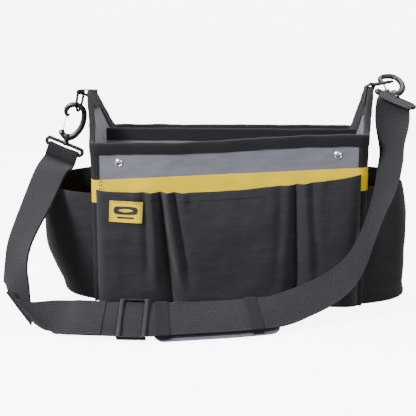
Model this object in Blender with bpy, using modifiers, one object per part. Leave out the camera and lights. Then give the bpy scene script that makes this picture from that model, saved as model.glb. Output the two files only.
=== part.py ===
"""Open-top garden tool bag with a detachable shoulder strap.

The bag is a fabric box with stiffened walls, gable ends, a divider and pockets
all round. A webbing strap hangs from a ring on each gable by a snap hook.

Frame, in metres: origin on the ground under the middle of the bag, +X along
the bag's length, +Y to the rear, +Z up. The pad side of the strap lies in front.
"""
import math

import bmesh
import bpy
from mathutils import Matrix, Vector

# Bag body
LENGTH = 0.406
DEPTH = 0.200
CORNER = 0.012
RIM = 0.254
RIM_SAG = 0.015
PEAK = {-1: 0.3135, 1: 0.3195}
PEAK_HALF_WIDTH = 0.018
LEAN = {-1: 0.020, 1: 0.014}
LEAN_START = 0.19
LEAN_STEPS = 3
GAP = 0.0003
SEAM = 0.0002

# Wall layers, outside to inside
FABRIC = 0.0012
BOARD = 0.0015
LINING = 0.0010
BOARD_INSET = FABRIC + GAP
LINER_INSET = BOARD_INSET + BOARD + GAP
STACK = LINER_INSET + LINING
BASE_TOP = FABRIC + GAP
BASE_BOARD = 0.0020
LINER_FLOOR = BASE_TOP + BASE_BOARD + 2 * GAP

# Tape, bands and trim
TAPE = 0.0010
RIM_TAPE_LEG = 0.016
CORNER_TAPE = 0.0008
BAND_INSET = -(2 * GAP + CORNER_TAPE)
BAND = 0.0010
BAND_HEIGHT = 0.034
POCKET_INSET = BAND_INSET - BAND - GAP
DIVIDER = 0.0025
DIVIDER_TOP = 0.2565

# Rivets
RIVET_X = 0.161
RIVET_DROP = 0.026
RIVET_HEAD_R = 0.0062
RIVET_SHANK_R = 0.0025
RIVET_HOLE_R = 0.0029
WASHER = 0.0008

# Strap and hardware
WEBBING_WIDTH = 0.050
WEBBING = 0.0015
TAB_WEBBING = 0.0013
LAYER_GAP = 0.0005
SLIDER_LENGTH = 0.040
SLIDER_CLEARANCE = 0.0012
SLIDER_TRAVEL = 0.015
PAD = 0.0035
PAD_GRIP = 0.0010
PAD_WIDTH = 0.062
PAD_CLEARANCE = 0.0010
KEEPER_WIDTH = 0.015
RING_WIRE_R = 0.0020
RING_HALF_WIDTH = 0.0205
RING_DROP = 0.031
EYE_R = 0.0030
EYE_HALF_WIDTH = 0.0305
EYE_TOP_Z = -0.0560
EYE_BAR_Z = -0.0660
SWIVEL_X = -0.009
PIN_AT = (-0.0193, -0.0394)

# Columns of the end walls, closer together on the sloping edges
SLOPE_COLUMNS = [PEAK_HALF_WIDTH + (DEPTH / 2 - CORNER - PEAK_HALF_WIDTH) * i / 5 for i in range(5)]
END_COLUMNS = [-y for y in reversed(SLOPE_COLUMNS)] + [0.0] + SLOPE_COLUMNS

PARTS = bpy.data.collections.new("garden_tool_bag")
CUTTERS = bpy.data.collections.new("cutters")
GUIDES = bpy.data.collections.new("joint_axes")

BLACK = (0.035, 0.035, 0.040)
GREY = (0.215, 0.220, 0.275)
YELLOW = (0.870, 0.630, 0.060)
LOOKS = {
    "black fabric": (BLACK, 0.85, 0.0),
    "grey fabric": (GREY, 0.85, 0.0),
    "black tape": ((0.045, 0.045, 0.050), 0.75, 0.0),
    "yellow tape": (YELLOW, 0.70, 0.0),
    "yellow patch": ((0.880, 0.650, 0.050), 0.55, 0.0),
    "board": ((0.30, 0.27, 0.22), 0.80, 0.0),
    "silver metal": ((0.72, 0.72, 0.74), 0.30, 1.0),
    "black metal": ((0.060, 0.060, 0.065), 0.40, 0.8),
    "black plastic": ((0.040, 0.040, 0.045), 0.45, 0.0),
    "webbing": ((0.055, 0.055, 0.060), 0.80, 0.0),
    "grey rubber": ((0.20, 0.20, 0.25), 0.70, 0.0),
}


def clear_scene():
    for obj in list(bpy.data.objects):
        bpy.data.objects.remove(obj, do_unlink=True)
    for group in (PARTS, CUTTERS, GUIDES):
        bpy.context.scene.collection.children.link(group)


def paint(obj, look):
    """Give an object its own Principled material."""
    colour, roughness, metallic = LOOKS[look]
    material = bpy.data.materials.new(obj.name)
    material.use_nodes = True
    shader = material.node_tree.nodes["Principled BSDF"]
    shader.inputs["Base Color"].default_value = (*colour, 1.0)
    shader.inputs["Roughness"].default_value = roughness
    shader.inputs["Metallic"].default_value = metallic
    obj.data.materials.clear()
    obj.data.materials.append(material)


def add(name, mesh, look, parent=None):
    """Put a mesh in the bag's collection as a named piece, riding a parent if given."""
    mesh.name = name
    obj = bpy.data.objects.new(name, mesh)
    PARTS.objects.link(obj)
    paint(obj, look)
    if parent is not None:
        obj.parent = parent
    return obj


def solidify(obj, thickness, offset):
    shell = obj.modifiers.new("thickness", "SOLIDIFY")
    shell.thickness = thickness
    shell.offset = offset
    shell.use_even_offset = True


def cut(obj, cutter):
    hole = obj.modifiers.new("cut", "BOOLEAN")
    hole.operation = "DIFFERENCE"
    hole.solver = "EXACT"
    hole.object = cutter


def hide_cutter(obj):
    for group in list(obj.users_collection):
        group.objects.unlink(obj)
    CUTTERS.objects.link(obj)
    obj.hide_render = True
    obj.display_type = "WIRE"


def grid_mesh(columns, closed=False):
    """Open surface from equally long columns of points, each column running upward."""
    form = bmesh.new()
    rows = [[form.verts.new(point) for point in column] for column in columns]
    count = len(rows)
    for i in range(count if closed else count - 1):
        here = rows[i]
        there = rows[(i + 1) % count]
        for j in range(len(here) - 1):
            form.faces.new((here[j], there[j], there[j + 1], here[j + 1]))
    mesh = bpy.data.meshes.new("grid")
    form.to_mesh(mesh)
    form.free()
    return mesh


def clamp(value):
    return max(0.0, min(1.0, value))


def lean_x(side, y, z):
    """Sideways offset of an end wall, which leans outward above the pockets."""
    rise = max(0.0, z - LEAN_START) / (PEAK[side] - LEAN_START)
    return side * LEAN[side] * rise * max(0.0, 1.0 - (2.0 * y / DEPTH) ** 2)


def front_rim(x):
    """The front rim sags towards the left."""
    return RIM - RIM_SAG / (1.0 + math.exp((x - 0.03) / 0.05))


def gable_top(side, y):
    shoulder = front_rim(side * LENGTH / 2) if y < 0 else RIM
    run = DEPTH / 2 - CORNER - PEAK_HALF_WIDTH
    fall = clamp((abs(y) - PEAK_HALF_WIDTH) / run)
    return PEAK[side] + (shoulder - PEAK[side]) * fall


def wall_top(x, y):
    if abs(x) > LENGTH / 2 - CORNER:
        return gable_top(1 if x > 0 else -1, y)
    return front_rim(x) if y < 0 else RIM


def band_top(x, y):
    """The yellow band climbs to the right on the front wall and is level behind."""
    back = clamp(y / DEPTH + 0.5)
    return (0.1975 + 0.056 * x) * (1 - back) + 0.200 * back


def hem_height(x):
    """Top of the front pockets."""
    return 0.1745 + 0.067 * x + 0.30 * x * x


def side_plan(facing, inset, steps):
    """Plan points of a long wall, left to right seen from outside."""
    half = LENGTH / 2 - CORNER - SEAM
    y = DEPTH / 2 - inset
    points = [(-half + 2 * half * i / steps, -y) for i in range(steps + 1)]
    return points if facing < 0 else [(-x, -y) for x, y in points]


def corner_plan(inset, steps=4):
    """Plan points round the front right corner."""
    radius = CORNER - inset
    centre = Vector((LENGTH / 2 - CORNER, -(DEPTH / 2 - CORNER)))
    points = []
    for i in range(steps + 1):
        angle = math.radians(-90 + 90 * i / steps)
        points.append((centre.x + radius * math.cos(angle), centre.y + radius * math.sin(angle)))
    return points


def end_plan(side, inset):
    """Plan points of an end wall with both of its corners."""
    lower = corner_plan(inset)
    lower[0] = (lower[0][0] + SEAM, lower[0][1])
    x = LENGTH / 2 - inset
    middle = [(x, y) for y in END_COLUMNS]
    upper = [(px, -py) for px, py in reversed(lower)]
    points = lower + middle + upper
    return points if side > 0 else [(-px, -py) for px, py in points]


def ring_plan(inset, steps=8):
    points = []
    for facing, side in ((-1, 1), (1, -1)):
        points += side_plan(facing, inset, steps) + end_plan(side, inset)
    return points


def wall_point(x, y, z):
    if abs(x) > LENGTH / 2 - CORNER:
        return (x + lean_x(1 if x > 0 else -1, y, z), y, z)
    return (x, y, z)


def wall_columns(plan, bottom, top, rows=0):
    """Columns of a wall; with 'rows' they stand straight, then follow the lean in that many steps."""
    columns = []
    for x, y in plan:
        low = bottom(x, y) if callable(bottom) else bottom
        high = top(x, y)
        levels = [low, high]
        if rows:
            levels = [low] + [LEAN_START + (high - LEAN_START) * j / rows for j in range(rows + 1)]
        columns.append([wall_point(x, y, z) for z in levels])
    return columns


def outer_walls():
    for name, facing in (("front_panel", -1), ("rear_panel", 1)):
        plan = side_plan(facing, 0.0, 10)
        panel = add(name, grid_mesh(wall_columns(plan, BASE_TOP, wall_top)), "grey fabric")
        solidify(panel, FABRIC, -1)
    for name, side in (("left_end_panel", -1), ("right_end_panel", 1)):
        panel = add(name, grid_mesh(wall_columns(end_plan(side, 0.0), BASE_TOP, wall_top, LEAN_STEPS)), "black fabric")
        solidify(panel, FABRIC, -1)


def boards():
    """Stiffeners hidden between the outer fabric and the lining."""
    for name, facing in (("front_board", -1), ("rear_board", 1)):
        plan = [(x * 0.985, y) for x, y in side_plan(facing, BOARD_INSET, 10)]
        top = lambda x, y: wall_top(x, y) - 0.001
        board = add(name, grid_mesh(wall_columns(plan, LINER_FLOOR, top)), "board")
        solidify(board, BOARD, -1)
    for name, side in (("left_board", -1), ("right_board", 1)):
        x = side * (LENGTH / 2 - BOARD_INSET)
        plan = [(x, side * y) for y in (-0.086, *END_COLUMNS, 0.086)]
        top = lambda x, y: wall_top(x, y) - 0.001
        board = add(name, grid_mesh(wall_columns(plan, LINER_FLOOR, top, LEAN_STEPS)), "board")
        solidify(board, BOARD, -1)


def liner():
    """One open box of lining fabric with its floor."""
    columns = wall_columns(ring_plan(LINER_INSET), LINER_FLOOR, wall_top, LEAN_STEPS)
    mesh = grid_mesh(columns, closed=True)
    form = bmesh.new()
    form.from_mesh(mesh)
    rim = [edge for edge in form.edges if edge.is_boundary and
           max(vert.co.z for vert in edge.verts) < LINER_FLOOR + 0.0001]
    bmesh.ops.contextual_create(form, geom=rim)
    bmesh.ops.recalc_face_normals(form, faces=form.faces)
    form.to_mesh(mesh)
    form.free()
    lining = add("liner", mesh, "grey fabric")
    solidify(lining, LINING, -1)
    return lining


def flat_plate(name, plan, z, thickness, look):
    """Horizontal sheet with an outline, its underside at z."""
    form = bmesh.new()
    form.faces.new([form.verts.new((x, y, z)) for x, y in plan])
    mesh = bpy.data.meshes.new(name)
    form.to_mesh(mesh)
    form.free()
    plate = add(name, mesh, look)
    solidify(plate, thickness, 1)


def base():
    flat_plate("base_panel", ring_plan(0.0005, 1), 0.0, FABRIC, "black fabric")
    flat_plate("base_board", ring_plan(LINER_INSET + 0.003, 1), BASE_TOP, BASE_BOARD, "board")


def divider():
    half = LENGTH / 2 - STACK - 0.0008
    low = LINER_FLOOR + LINING + GAP
    plan = [(-half, -DIVIDER / 2), (half, -DIVIDER / 2)]
    columns = [[(x, y, low), (x, y, DIVIDER_TOP - TAPE - GAP)] for x, y in plan]
    panel = add("divider_panel", grid_mesh(columns), "grey fabric")
    solidify(panel, DIVIDER, -1)
    reach = DIVIDER / 2 + GAP
    columns = []
    for x in (-half, half):
        top = DIVIDER_TOP - TAPE
        columns.append([(x, -reach, top - RIM_TAPE_LEG), (x, -reach, top), (x, reach, top),
                        (x, reach, top - RIM_TAPE_LEG)])
    tape = add("divider_binding", grid_mesh(columns), "black tape")
    solidify(tape, TAPE, 1)


def folded_tape(name, outer, inner, leg):
    """Tape folded over the wall's top edge."""
    columns = []
    for (ox, oy), (ix, iy) in zip(outer, inner):
        top = wall_top(ox, oy)
        columns.append([wall_point(ox, oy, top - leg), wall_point(ox, oy, top - leg / 2),
                        wall_point(ox, oy, top + GAP), wall_point(ix, iy, top + GAP),
                        wall_point(ix, iy, top - leg / 2), wall_point(ix, iy, top - leg)])
    tape = add(name, grid_mesh(columns), "black tape")
    solidify(tape, TAPE, 1)


def rim_bindings():
    for name, facing in (("rim_binding_front", -1), ("rim_binding_rear", 1)):
        folded_tape(name, side_plan(facing, -GAP, 10), side_plan(facing, STACK + GAP, 10), RIM_TAPE_LEG)
    for name, side in (("rim_binding_left", -1), ("rim_binding_right", 1)):
        folded_tape(name, end_plan(side, -GAP), end_plan(side, STACK + GAP), RIM_TAPE_LEG)


def corner_tapes():
    """Vertical tape over each corner, from the base to the rim binding."""
    front_right = corner_plan(-GAP)
    corners = {
        "corner_tape_front_right": front_right,
        "corner_tape_rear_right": [(x, -y) for x, y in reversed(front_right)],
        "corner_tape_rear_left": [(-x, -y) for x, y in front_right],
        "corner_tape_front_left": [(-x, y) for x, y in reversed(front_right)],
    }
    for name, plan in corners.items():
        top = lambda x, y: wall_top(x, y) - RIM_TAPE_LEG - 2 * GAP
        tape = add(name, grid_mesh(wall_columns(plan, BASE_TOP, top, LEAN_STEPS)), "black tape")
        solidify(tape, CORNER_TAPE, 1)


def yellow_band():
    low = lambda x, y: band_top(x, y) - BAND_HEIGHT
    columns = wall_columns(ring_plan(BAND_INSET), low, band_top)
    band = add("yellow_band", grid_mesh(columns, closed=True), "yellow tape")
    solidify(band, BAND, 1)


class Pocket:
    """A pouch sewn to a wall along its sides and bottom.

    'turn' is the wall's direction in degrees: 0 front, 90 right end, 180 rear,
    270 left end. 'left' and 'right' give its side seams, and 'hem' its lip, as
    functions of height and of position along the wall.
    """

    def __init__(self, turn, left, right, hem, depth, rows, power):
        self.spin = Matrix.Rotation(math.radians(turn), 3, "Z")
        reach = DEPTH / 2 if turn % 180 == 0 else LENGTH / 2
        self.wall = reach - POCKET_INSET
        self.left = left
        self.right = right
        self.hem = hem
        self.depth = depth
        self.rows = rows
        self.power = power

    def bulge(self, u):
        return 1.0 - abs(2.0 * u - 1.0) ** self.power

    def point(self, u, height_share, depth_share, lift=0.0):
        along = self.left(0.1) + u * (self.right(0.1) - self.left(0.1))
        z = POCKET_FLOOR + (self.hem(along) - POCKET_FLOOR) * height_share
        along = self.left(z) + u * (self.right(z) - self.left(z))
        out = self.wall + self.depth * depth_share * self.bulge(u) + lift
        return tuple(self.spin @ Vector((along, -out, z)))

    def columns(self, steps):
        return [[self.point(i / steps, h, d) for h, d in self.rows] for i in range(steps + 1)]

    def depth_at(self, share):
        for (h0, d0), (h1, d1) in zip(self.rows, self.rows[1:]):
            if h0 <= share <= h1 and h1 > h0:
                return d0 + (d1 - d0) * (share - h0) / (h1 - h0)
        return self.rows[-1][1]


POCKET_FLOOR = 0.0016
FRONT_ROWS = [(0.0, 0.0), (0.01, 0.62), (0.10, 0.92), (0.32, 1.0), (0.62, 0.95), (0.85, 0.72), (1.0, 0.5)]
LEFT_END_ROWS = [(0.0, 0.0), (0.01, 0.60), (0.14, 0.76), (0.38, 0.93), (0.62, 1.0), (0.85, 0.88), (1.0, 0.72)]
RIGHT_END_ROWS = [(0.0, 0.0), (0.01, 0.94), (0.14, 1.0), (0.38, 1.0), (0.62, 0.99), (0.85, 0.94), (1.0, 0.86)]


def left_fold(z):
    return -0.0808 - 0.108 * z


def right_fold(z):
    return 0.1050 - 0.020 * z


def pockets():
    """Three pouches front and rear, and one large pouch on each end."""
    edge = LENGTH / 2 - CORNER + 0.003
    split = 0.0016
    front = {
        "left": (lambda z: -edge, lambda z: left_fold(z) - split, 0.019),
        "centre": (lambda z: left_fold(z) + split, lambda z: right_fold(z) - split, 0.023),
        "right": (lambda z: right_fold(z) + split, lambda z: edge, 0.019),
    }
    made = {}
    for place, (left, right, depth) in front.items():
        made["front_pocket_" + place] = Pocket(0, left, right, hem_height, depth, FRONT_ROWS, 3)
        made["rear_pocket_" + place] = Pocket(180, left, right, lambda a: 0.180, depth, FRONT_ROWS, 3)
    reach = DEPTH / 2 - CORNER + 0.002
    made["left_end_pocket"] = Pocket(270, lambda z: -reach, lambda z: reach,
                                     lambda a: 0.176 - 0.12 * a, 0.087, LEFT_END_ROWS, 5)
    made["right_end_pocket"] = Pocket(90, lambda z: -reach, lambda z: reach,
                                      lambda a: 0.184 + 0.05 * a, 0.072, RIGHT_END_ROWS, 5)
    for name, pocket in made.items():
        steps = 12 if "end" in name else 10
        pouch = add(name, grid_mesh(pocket.columns(steps)), "black fabric")
        solidify(pouch, FABRIC, 1)
    return made


def label(pocket):
    """Plain sewn patch near the top of the left front pocket."""
    centre = Vector((-0.148, 0.1425))
    width, height, tilt = 0.048, 0.031, math.radians(3)
    columns = []
    for i in range(7):
        column = []
        for j in range(4):
            a = width * (i / 6 - 0.5)
            b = height * (j / 3 - 0.5)
            x = centre.x + a * math.cos(tilt) + b * math.sin(tilt)
            z = centre.y - a * math.sin(tilt) + b * math.cos(tilt)
            share = (z - POCKET_FLOOR) / (pocket.hem(x) - POCKET_FLOOR)
            u = (x - pocket.left(z)) / (pocket.right(z) - pocket.left(z))
            out = pocket.wall + pocket.depth * pocket.depth_at(share) * pocket.bulge(u)
            column.append((x, -(out + FABRIC + 0.0009), z))
        columns.append(column)
    patch = add("label", grid_mesh(columns), "yellow patch")
    solidify(patch, 0.0008, 1)


def turned(name, profile, look, steps=20, closed=False):
    """Solid of revolution about local Z from a profile of (radius, height)."""
    form = bmesh.new()
    verts = [form.verts.new((r, 0.0, z)) for r, z in profile]
    for a, b in zip(verts, verts[1:]):
        form.edges.new((a, b))
    if closed:
        form.edges.new((verts[-1], verts[0]))
    mesh = bpy.data.meshes.new(name)
    form.to_mesh(mesh)
    form.free()
    obj = add(name, mesh, look)
    lathe = obj.modifiers.new("turn", "SCREW")
    lathe.axis = "Z"
    lathe.steps = steps
    lathe.render_steps = steps
    lathe.use_merge_vertices = True
    lathe.merge_threshold = 0.00001
    lathe.use_smooth_shade = True
    return obj


def rivets(lining):
    """Two rivets near the top of each long wall, with a washer inside each."""
    for place, facing in (("front", -1), ("rear", 1)):
        panel = bpy.data.objects[place + "_panel"]
        board = bpy.data.objects[place + "_board"]
        for hand, side in (("left", -1), ("right", 1)):
            x = side * RIVET_X
            z = wall_top(x, facing) - RIVET_DROP
            place_at = Matrix.Translation((x, facing * DEPTH / 2, z))
            outward = Matrix.Rotation(math.radians(90 if facing < 0 else -90), 4, "X")
            head = [(0.0, 0.0022), (0.0030, 0.0020), (0.0052, 0.0012), (RIVET_HEAD_R, GAP),
                    (RIVET_SHANK_R, GAP), (RIVET_SHANK_R, -STACK - GAP - WASHER - 0.0004),
                    (0.0, -STACK - GAP - WASHER - 0.0004)]
            rivet = turned("rivet_%s_%s" % (place, hand), head, "silver metal")
            rivet.matrix_world = place_at @ outward
            ring = [(0.0060, -STACK - GAP), (0.0060, -STACK - GAP - WASHER),
                    (RIVET_HOLE_R, -STACK - GAP - WASHER), (RIVET_HOLE_R, -STACK - GAP)]
            washer = turned("washer_%s_%s" % (place, hand), ring, "silver metal", closed=True)
            washer.matrix_world = place_at @ outward
            bpy.ops.mesh.primitive_cylinder_add(vertices=20, radius=RIVET_HOLE_R, depth=0.02)
            drill = bpy.context.object
            drill.name = "drill_%s_%s" % (place, hand)
            drill.matrix_world = place_at @ outward
            hide_cutter(drill)
            for layer in (panel, board, lining):
                cut(layer, drill)


def tube(name, points, radius, look, cyclic=False, radii=None, resolution=2, parent=None):
    """Round bar along points, as a closed mesh."""
    curve = bpy.data.curves.new(name, "CURVE")
    curve.dimensions = "3D"
    curve.bevel_depth = radius
    curve.bevel_resolution = resolution
    curve.use_fill_caps = not cyclic
    spline = curve.splines.new("POLY")
    spline.points.add(len(points) - 1)
    for i, point in enumerate(points):
        spline.points[i].co = (*point, 1.0)
        spline.points[i].radius = radii[i] if radii else 1.0
    spline.use_cyclic_u = cyclic
    holder = bpy.data.objects.new(name + "_curve", curve)
    GUIDES.objects.link(holder)
    bpy.context.view_layer.update()
    solid = bpy.data.meshes.new_from_object(holder.evaluated_get(bpy.context.evaluated_depsgraph_get()))
    bpy.data.objects.remove(holder, do_unlink=True)
    form = bmesh.new()
    form.from_mesh(solid)
    bmesh.ops.remove_doubles(form, verts=form.verts, dist=0.000005)
    bmesh.ops.recalc_face_normals(form, faces=form.faces)
    form.to_mesh(solid)
    form.free()
    return add(name, solid, look, parent)


def smooth_path(points, per_span, closed=False):
    """Catmull-Rom curve through vectors."""
    count = len(points)
    out = []
    for i in range(count if closed else count - 1):
        if closed:
            p0, p1, p2, p3 = (points[(i + k) % count] for k in (-1, 0, 1, 2))
        else:
            p1, p2 = points[i], points[i + 1]
            p0 = points[i - 1] if i > 0 else p1 * 2 - p2
            p3 = points[i + 2] if i + 2 < count else p2 * 2 - p1
        for k in range(per_span):
            t = k / per_span
            out.append(0.5 * (p1 * 2 + (p2 - p0) * t + (p0 * 2 - p1 * 5 + p2 * 4 - p3) * t * t
                              + (p1 * 3 - p0 - p2 * 3 + p3) * t ** 3))
    if not closed:
        out.append(points[-1])
    return out


def frame_from(origin, up, across):
    """Placement whose local Z is 'up' and whose local X lies nearest to 'across'."""
    z = Vector(up).normalized()
    x = Vector(across)
    x = (x - z * x.dot(z)).normalized()
    y = z.cross(x)
    turn = Matrix((x, y, z)).transposed().to_4x4()
    return Matrix.Translation(origin) @ turn


# Each clip: where the tab holds the ring, where the hook hangs on the ring, how
# the hook points, and how far the strap eye tilts and spins on its swivel
CLIPS = {
    -1: {"name": "left", "bar": (-0.2376, 0.0, 0.3142), "hang": (-0.2433, 0.0, 0.2838),
         "up": (0.225, 0.0, 0.974), "across": (1.0, 0.0, 0.0), "tilt": 9.0, "wrap": (100, -80),
         "spin": 0.0, "seat": (0.0, 0.0, 0.0)},
    1: {"name": "right", "bar": (0.2196, 0.0, 0.3255), "hang": (0.2502, 0.0, 0.3307),
        "up": (-0.166, 0.857, 0.488), "across": (0.9, 0.0, -0.09), "tilt": 24.0, "wrap": (165, -5),
        "spin": 14.0, "seat": (0.0015, 0.0006, 0.0082)},
}


def tab(side, clip):
    """Webbing that loops round the ring's bar and is sewn over the gable's tip."""
    peak = PEAK[side]
    bar_out = abs(clip["bar"][0])
    bar_z = clip["bar"][2]
    turn = RING_WIRE_R + GAP + TAB_WEBBING / 2

    clear = TAPE + 2.5 * GAP + TAB_WEBBING / 2
    start, stop = clip["wrap"]
    columns = []
    for y in (-PEAK_HALF_WIDTH, 0.0, PEAK_HALF_WIDTH):
        def face(z, inset):
            return LENGTH / 2 - inset + abs(lean_x(side, y, z))

        path = [(face(z, STACK + clear), z) for z in (peak - 0.024, peak - 0.010, peak - 0.001)]
        path.append((face(peak, STACK + clear) + 0.0006, peak + clear + 0.0006))
        for i in range(9):
            angle = math.radians(start + (stop - start) * i / 8)
            path.append((bar_out + turn * math.cos(angle), bar_z + turn * math.sin(angle)))
        path += [(face(z, -clear), z) for z in (peak - 0.006, peak - 0.014, peak - 0.024)]
        columns.append([(side * x, y, z) for x, z in path])
    loop = add(clip["name"] + "_tab", grid_mesh(columns), "webbing")
    solidify(loop, TAB_WEBBING, 0)


def ring(side, clip, parent):
    bar = Vector(clip["bar"])
    down = (Vector(clip["hang"]) - bar).normalized()
    points = []
    for i in range(17):
        angle = math.pi * i / 16
        across = RING_HALF_WIDTH * math.cos(angle)
        points.append(bar + Vector((0, across, 0)) + down * (0.008 + (RING_DROP - 0.008) * math.sin(angle)))
    points += [bar + Vector((0, -RING_HALF_WIDTH, 0)) + down * 0.001, bar + Vector((0, -RING_HALF_WIDTH + 0.001, 0)),
               bar + Vector((0, RING_HALF_WIDTH - 0.001, 0)), bar + Vector((0, RING_HALF_WIDTH, 0)) + down * 0.001]
    local = parent.matrix_world.inverted()
    tube(clip["name"] + "_ring", [local @ p for p in points], RING_WIRE_R, "black metal", cyclic=True,
         parent=parent)


# Hook centreline in its own frame (x, z, thickness), from the nose over the crook to the gate's boss
HOOK_LINE = [(-0.0128, -0.0088, 0.0019), (-0.0155, -0.0105, 0.0026), (-0.0183, -0.0075, 0.0032),
             (-0.0190, -0.0020, 0.0038), (-0.0150, 0.0050, 0.0042), (-0.0070, 0.0085, 0.0043),
             (0.0020, 0.0080, 0.0043), (0.0088, 0.0025, 0.0044), (0.0115, -0.0070, 0.0045),
             (0.0115, -0.0180, 0.0046), (0.0085, -0.0290, 0.0048), (0.0020, -0.0395, 0.0050),
             (-0.0060, -0.0450, 0.0052), (-0.0140, -0.0445, 0.0048), (-0.0193, -0.0394, 0.0046)]


def to_parent(parent, matrix):
    return parent.matrix_world.inverted() @ matrix


def cylinder(name, matrix, radius, depth, axis="Y", vertices=20):
    bpy.ops.mesh.primitive_cylinder_add(vertices=vertices, radius=radius, depth=depth)
    obj = bpy.context.object
    obj.name = name
    turn = Matrix.Rotation(math.radians(90), 4, "X") if axis == "Y" else Matrix.Identity(4)
    obj.matrix_world = matrix @ turn
    return obj


def union(obj, other):
    join = obj.modifiers.new("join", "BOOLEAN")
    join.operation = "UNION"
    join.solver = "EXACT"
    join.object = other


def hook(clip, place, pivot):
    """Snap hook body with a forked boss for the gate and a bore for the swivel."""
    name = clip["name"]
    base_r = 0.0050
    points = smooth_path([Vector((x, 0, z)) for x, z, _ in HOOK_LINE], 2)
    radii = [p.x / base_r for p in smooth_path([Vector((r, 0, 0)) for _, _, r in HOOK_LINE], 2)]
    local = to_parent(pivot, place)
    body = tube(name + "_hook", [local @ p for p in points], base_r, "black plastic", radii=radii,
                resolution=3, parent=pivot)
    pin = Matrix.Translation((PIN_AT[0], 0, PIN_AT[1]))
    bore = cylinder(name + "_pin_bore", place @ pin, 0.0017, 0.03)
    hide_cutter(bore)
    cut(body, bore)
    bpy.ops.mesh.primitive_cube_add(size=1)
    slot = bpy.context.object
    slot.name = name + "_gate_slot"
    slot.matrix_world = (place @ Matrix.Translation((PIN_AT[0] - 0.0010, 0, PIN_AT[1] + 0.0015))
                         @ Matrix.Diagonal((0.0125, 0.0046, 0.0105, 1)))
    hide_cutter(slot)
    cut(body, slot)
    socket = cylinder(name + "_swivel_bore", place @ Matrix.Translation((SWIVEL_X, 0, -0.0490)), 0.0024,
                      0.0080, "Z")
    hide_cutter(socket)
    cut(body, socket)
    shaft = cylinder(name + "_gate_pin", place @ pin, 0.0014, 0.0085)
    keep_piece(shaft, "silver metal", pivot)


def keep_piece(obj, look, parent):
    """Move a primitive into the bag's collection and onto its joint's empty."""
    world = obj.matrix_world.copy()
    for group in list(obj.users_collection):
        group.objects.unlink(obj)
    PARTS.objects.link(obj)
    obj.data.name = obj.name
    paint(obj, look)
    obj.parent = parent
    obj.matrix_local = parent.matrix_world.inverted() @ world


def gate(clip, place, pivot):
    """Spring leaf that closes the hook, on a barrel round the pin."""
    name = clip["name"] + "_gate"
    barrel_r = 0.0027
    barrel = cylinder(name, place @ Matrix.Translation((PIN_AT[0], 0, PIN_AT[1])), barrel_r, 0.0040)
    keep_piece(barrel, "black metal", pivot)
    bpy.ops.mesh.primitive_cube_add(size=1)
    leaf = bpy.context.object
    leaf.name = name + "_leaf"
    low = PIN_AT[1] + 0.0015
    high = -0.0138
    leaf.matrix_world = (place @ Matrix.Translation((PIN_AT[0] + 0.0019, 0, (low + high) / 2))
                         @ Matrix.Diagonal((0.0011, 0.0039, high - low, 1)))
    hide_cutter(leaf)
    union(barrel, leaf)
    bore = cylinder(name + "_bore", place @ Matrix.Translation((PIN_AT[0], 0, PIN_AT[1])), 0.00155, 0.02)
    hide_cutter(bore)
    cut(barrel, bore)


def eye_frame(clip, place):
    """Frame of the strap eye, turned and tilted on the swivel."""
    neck = Matrix.Translation((SWIVEL_X, 0, -0.0530))
    turn = Matrix.Rotation(math.radians(clip["spin"]), 4, "Z") @ Matrix.Rotation(math.radians(clip["tilt"]), 4, "Y")
    return place @ neck @ turn @ neck.inverted()


def eye(clip, place, parent):
    """Rounded rectangular eye with a collar and a stud that turns in the hook."""
    name = clip["name"] + "_swivel_eye"
    turned_frame = eye_frame(clip, place)
    half = EYE_HALF_WIDTH
    rise = (EYE_TOP_Z - EYE_BAR_Z) / 2
    middle = (EYE_TOP_Z + EYE_BAR_Z) / 2
    points = []
    for sign in (1, -1):
        for i in range(6):
            angle = math.radians(90 - 36 * i)
            points.append(Vector((SWIVEL_X + sign * (half - rise + rise * math.cos(angle)), 0,
                                  middle + sign * rise * math.sin(angle))))
    local = to_parent(parent, turned_frame)
    body = tube(name, [local @ p for p in points], EYE_R, "black plastic", cyclic=True, resolution=2,
                parent=parent)
    for part, radius, low, high in (("collar", 0.0042, -0.0565, -0.0509), ("stud", 0.0021, -0.0520, -0.0458)):
        piece = cylinder(name + "_" + part, place @ Matrix.Translation((SWIVEL_X, 0, (low + high) / 2)),
                         radius, high - low, "Z", 16)
        hide_cutter(piece)
        union(body, piece)


def strap_loop(side, clip, place, parent):
    """Webbing folded round the eye's lower bar; its legs carry the strap and the sewn end."""
    name = clip["name"] + "_strap_loop"
    turned_frame = eye_frame(clip, place)
    turn = EYE_R + GAP + WEBBING / 2
    legs = {-1: (0.010, 0.010), 1: (0.016, 0.009)}[side]
    path = [(-turn, EYE_BAR_Z - legs[0]), (-turn, EYE_BAR_Z - legs[0] / 2)]
    for i in range(7):
        angle = math.pi - math.pi * i / 6
        path.append((turn * math.cos(angle), EYE_BAR_Z + turn * math.sin(angle)))
    path += [(turn, EYE_BAR_Z - legs[1] / 2), (turn, EYE_BAR_Z - legs[1])]
    local = to_parent(parent, turned_frame)
    columns = []
    for i in (-1, 1):
        x = SWIVEL_X + i * WEBBING_WIDTH / 2
        columns.append([local @ Vector((x, y, z)) for y, z in path])
    loop = add(name, grid_mesh(columns), "webbing", parent)
    solidify(loop, WEBBING, 0)
    return turned_frame, turn, legs


def empty(name, matrix, parent=None):
    holder = bpy.data.objects.new(name, None)
    holder.empty_display_size = 0.02
    GUIDES.objects.link(holder)
    if parent is not None:
        holder.parent = parent
        holder.matrix_local = parent.matrix_world.inverted() @ matrix
    else:
        holder.matrix_world = matrix
    bpy.context.view_layer.update()
    return holder


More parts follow.
